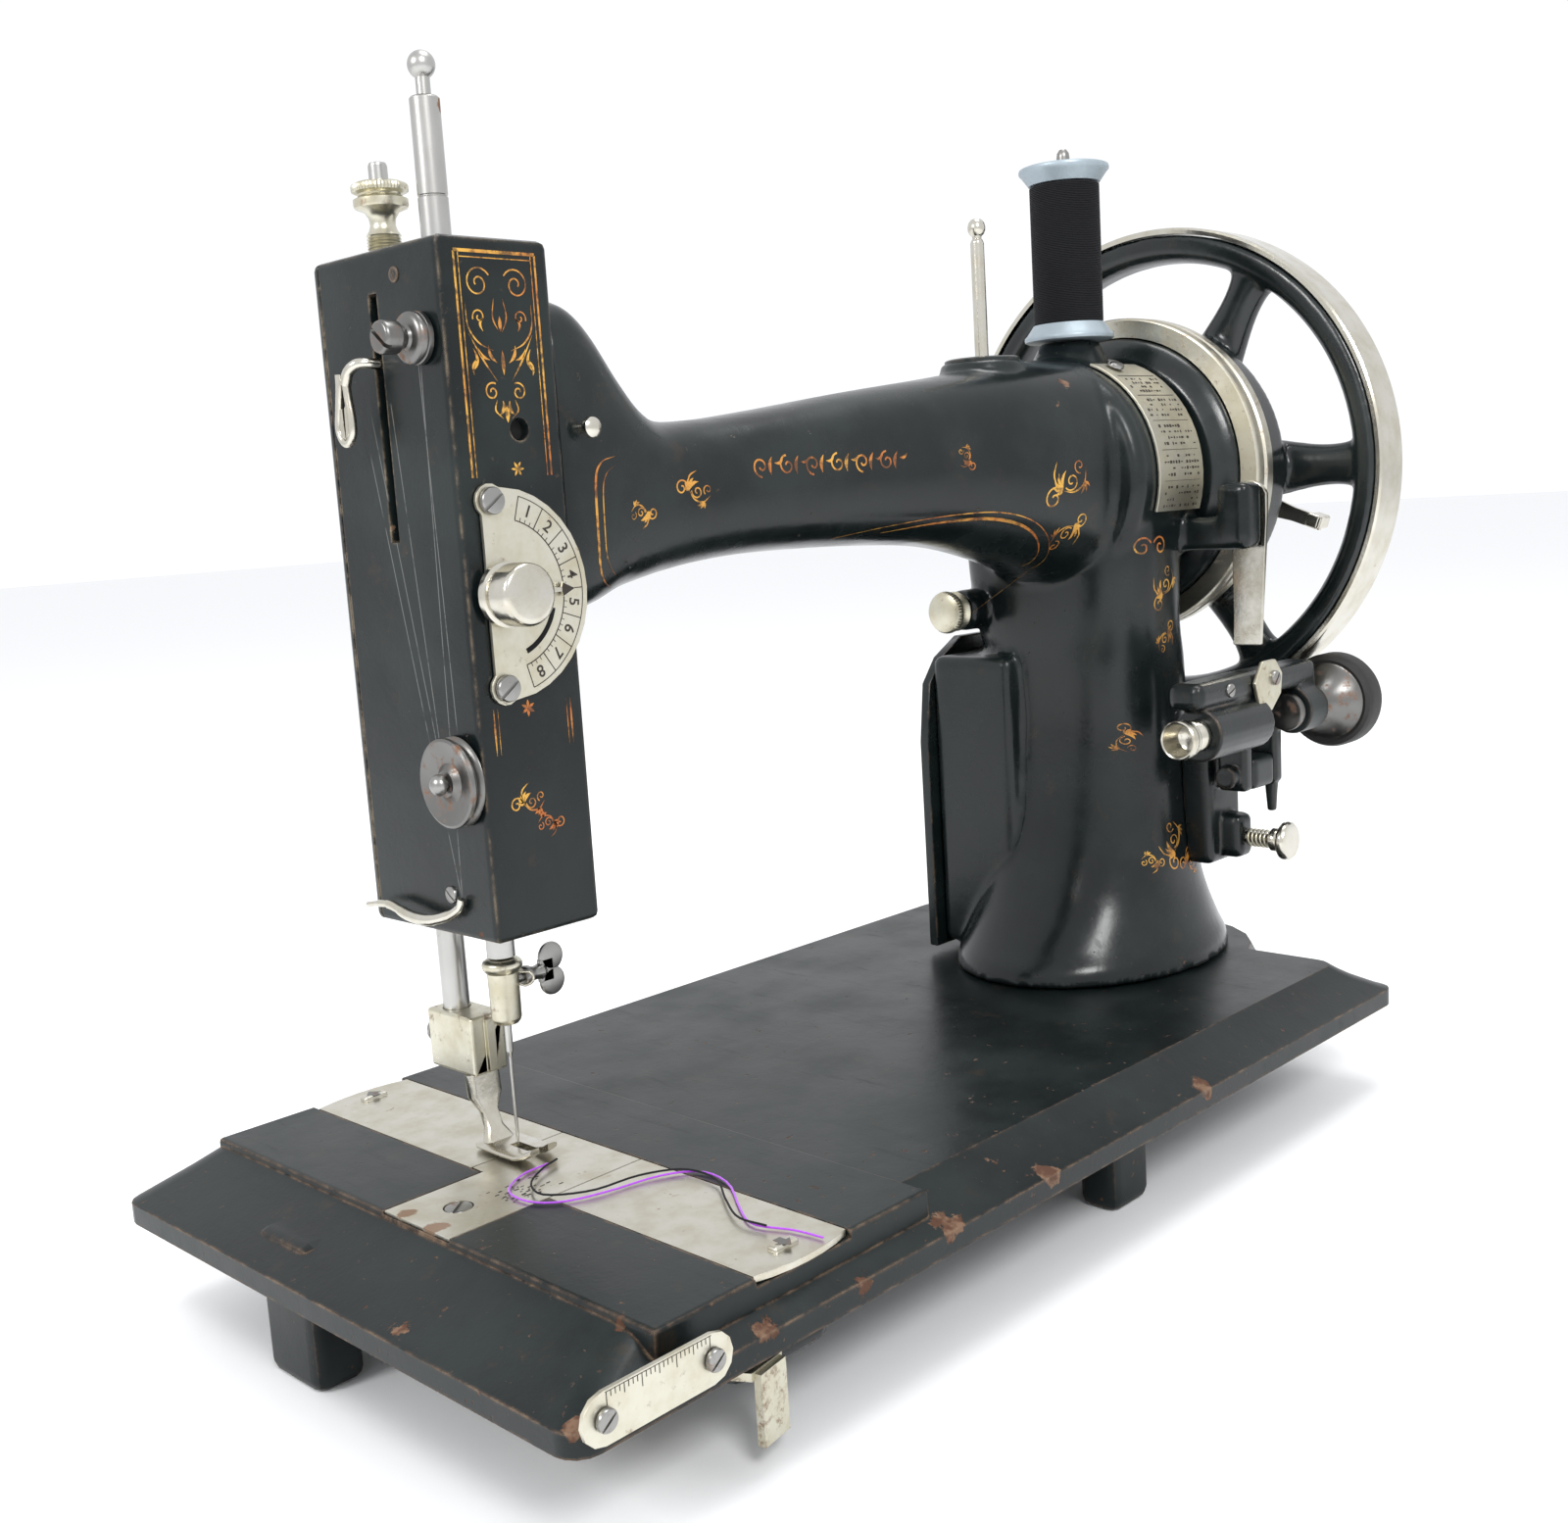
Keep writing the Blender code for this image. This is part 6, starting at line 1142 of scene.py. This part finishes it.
def spiral(x, z, radius, turns, start, hand=1):
    """A curl winding in to its middle."""
    points = []
    for step in range(SPIRAL_STEPS + 1):
        share = step / SPIRAL_STEPS
        turn = math.radians(start) + hand * 2 * math.pi * turns * share
        reach = radius * (1 - 0.82 * share)
        points.append((x + reach * math.cos(turn), z + reach * math.sin(turn)))
    return points


def leaf(x, z, length, turn, bend=0.2):
    """A short curved stroke."""
    turn = math.radians(turn)
    along, side = (math.cos(turn), math.sin(turn)), (-math.sin(turn), math.cos(turn))
    return [(x + along[0] * length * t + side[0] * length * bend * math.sin(math.pi * t),
             z + along[1] * length * t + side[1] * length * bend * math.sin(math.pi * t))
            for t in [step / 8 for step in range(9)]]


def line(*points):
    return eased(points, 14 * (len(points) - 1)) if len(points) > 2 else [
        [a + (b - a) * step / 20 for a, b in zip(*points)] for step in range(21)]


def gild(name, strokes, onto):
    """Lay a set of (points, width, taper) strokes on a surface as one thin piece."""
    shape = bmesh.new()
    for flat, width, taper in strokes:
        ribbon(shape, flat, width, onto, taper)
    obj = linked(name, meshed(name, shape))
    thick = obj.modifiers.new("thick", "SOLIDIFY")
    thick.thickness, thick.offset = 0.04 * MM, 0.0
    applied(obj)
    finish_piece(obj, gold, "frame")
    return obj


def flip(strokes, middle=0.0):
    """The strokes and their mirror image."""
    return strokes + [([(2 * middle - x, z) for x, z in flat], width, taper)
                      for flat, width, taper in strokes]


def scrollwork(x, z, size, turn=0.0):
    """A generic scroll: two curls, a stem and a spray of leaves."""
    strokes = [(spiral(-3.2, 1.2, 3.0, 1.3, -20), 0.45, False),
               (spiral(3.0, -1.4, 2.4, 1.25, 160), 0.4, False),
               (line((-0.4, 0.2), (1.2, -3.6), (4.6, -5.4), (8.2, -4.0)), 0.5, True),
               (line((-0.6, 1.4), (1.4, 4.4), (5.0, 5.4)), 0.5, True),
               (spiral(7.6, -1.8, 1.9, 1.1, 220, -1), 0.35, False)]
    for spray in range(5):
        strokes.append((leaf(0.4, 0.2, 4.2 - 0.35 * spray, 20 + 34 * spray, 0.18), 1.0, True))
    for spray in range(3):
        strokes.append((leaf(4.4, -5.0, 2.6, 200 + 40 * spray, 0.2), 0.8, True))
    turn = math.radians(turn)
    wide, tall = math.cos(turn) * size, math.sin(turn) * size
    return [([(x + a * wide - b * tall, z + a * tall + b * wide) for a, b in flat], width * size ** 0.5,
             taper)
            for flat, width, taper in strokes]


def make_ornament():
    """Gold scrolls and lines on the head and the arm."""
    panel = [(spiral(-5.0, 200.6, 3.5, 1.5, 30), 0.34, False),
             (spiral(-5.4, 193.6, 1.7, 1.2, 200, -1), 0.3, False),
             (line((-8.7, 196.5), (-8.4, 191.5), (-6.0, 188.2), (-2.4, 186.6)), 0.4, True),
             (line((-8.4, 190.0), (-5.2, 184.6), (-2.0, 180.2)), 0.42, True),
             (line((-1.2, 197.5), (-1.8, 193.5), (-0.4, 190.5)), 0.35, True),
             (spiral(-3.5, 177.9, 2.0, 1.35, 60, 1), 0.36, False),
             (line((-2.4, 176.2), (-3.0, 174.0), (-1.2, 172.2)), 0.4, True),
             (leaf(-7.6, 187.0, 5.0, 262, 0.25), 0.75, True),
             (leaf(-6.6, 184.8, 3.6, 250, -0.2), 0.6, True),
             (leaf(-1.6, 184.0, 4.2, 118, 0.15), 0.8, True),
             (leaf(-3.4, 184.6, 3.8, 140, 0.15), 0.7, True),
             (leaf(-0.9, 176.0, 3.2, 250, 0.2), 0.9, True), (leaf(-4.6, 190.6, 3.0, 80, 0.3), 0.6, True)]
    strokes = flip(panel)
    strokes += [(leaf(0, 181.5, 5.2, 90, 0), 1.0, True), (leaf(0, 175.0, 3.6, 270, 0), 1.2, True),
                (leaf(0, 190.6, 3.2, 90, 0), 0.9, True)]
    for x, wide in ((-10.6, 0.5), (-9.5, 0.22), (9.6, 0.22), (10.7, 0.5)):
        strokes += [(line((x, 207.0), (x, 159.8)), wide, False),
                    (line((x, 109.8), (x, 99.5)), wide, True)]
    strokes += [(line((-10.6, 207.2), (10.7, 207.2)), 0.7, False),
                (line((-9.6, 205.9), (9.7, 205.9)), 0.22, False)]
    strokes += scrollwork(-4.5, 88.0, 0.62, 25) + scrollwork(3.4, 82.5, 0.5, 200)
    for turn in range(0, 360, 60):
        strokes.append((leaf(-1.2, 109.0, 1.9, turn + 30, 0), 0.7, True))
        strokes.append((leaf(1.5, 161.4, 1.7, turn, 0), 0.6, True))
    gild("head_gilding", strokes, on_head)
    curve = ((104, 138.4), (122, 140.6), (142, 142.2), (160, 142.0), (174, 138.0), (184, 129.5),
             (190.5, 117.0), (194.0, 101.0))
    inner = [(x + 1.6, z + 1.7) for x, z in curve]
    strokes = [(line(*curve[1:]), 1.0, True), (line(*inner), 0.35, True)]
    strokes += [(line((31, 163.5), (26.5, 162.0), (24.5, 157.0), (24.5, 141.0), (26.5, 135.5),
                      (31, 133.0)), 0.7, True), (line((31, 161.5), (28.0, 159.5), (26.6, 155.0),
            (26.6, 143.0), (28.2, 138.5), (31, 136.0)), 0.3, True)]
    for step in range(6):
        x = 77 + 8.4 * step
        strokes += [(spiral(x, 159.6, 2.6, 1.2, 90 if step % 2 else 270, 1 if step % 2 else -1), 0.5,
                     False),
                    (leaf(x + 3.0, 157.4, 4.6, 80, 0.15), 1.1, True),
                    (leaf(x + 4.4, 160.4, 3.0, 20, -0.2), 0.8, True)]
    strokes += scrollwork(54, 155, 0.72, 10) + scrollwork(40, 150, 0.55, 200) + scrollwork(148, 158.5,
        0.5, 150)
    strokes += scrollwork(182, 149, 1.15, 60) + scrollwork(189, 138, 0.8, 250)
    strokes += scrollwork(218, 116, 0.95, 85) + scrollwork(222, 104, 0.7, 260)
    strokes += flip([(spiral(209, 130.5, 3.1, 1.3, 20), 0.55, False)], 212.5)
    strokes += scrollwork(222, 36, 1.0, 110) + scrollwork(229, 31, 0.8, 20) + scrollwork(214, 34, 0.55,
        190)
    strokes += scrollwork(209, 74, 0.6, 300)
    gild("casting_gilding", strokes, on_casting)


# ---- stage --------------------


def make_stage():
    """A pale floor and soft studio light."""
    shape = bmesh.new()
    bmesh.ops.create_grid(shape, x_segments=1, y_segments=1, size=8.0)
    floor = linked("floor", meshed("floor", shape))
    floor.data.materials.append(plain("pale_floor", tint(0.90, 0.905, 0.91), 0.85, 0.0, 0.01))
    world = bpy.data.worlds.new("studio")
    world.use_nodes = True
    sky = world.node_tree.nodes["Background"]
    sky.inputs["Color"].default_value = tint(0.97, 0.98, 1.0)
    sky.inputs["Strength"].default_value = 1.06
    bpy.context.scene.world = world
    bpy.context.scene.view_settings.view_transform = "Standard"
    for name, place, size, power in (("key", (-0.55, -0.95, 0.95), 0.34, 9.0),
                                     ("side", (-1.1, 0.15, 0.75), 0.3, 6.0),
                                     ("top", (0.25, -0.1, 1.5), 0.6, 9.0)):
        data = bpy.data.lights.new(name, "AREA")
        data.size, data.energy = size, power
        lamp = linked(name, data)
        lamp.location = place
        aim = Vector((0.0, 0.0, 0.12)) - Vector(place)
        lamp.rotation_euler = aim.to_track_quat("-Z", "Y").to_euler()


make_camera()
make_threads()
casting = make_arm()
make_wheel()
make_bed()
make_ruler()
make_needle_bar()
make_presser()
make_face()
make_dial()
make_spool()
make_scale()
make_winder()
make_ornament()
make_stage()
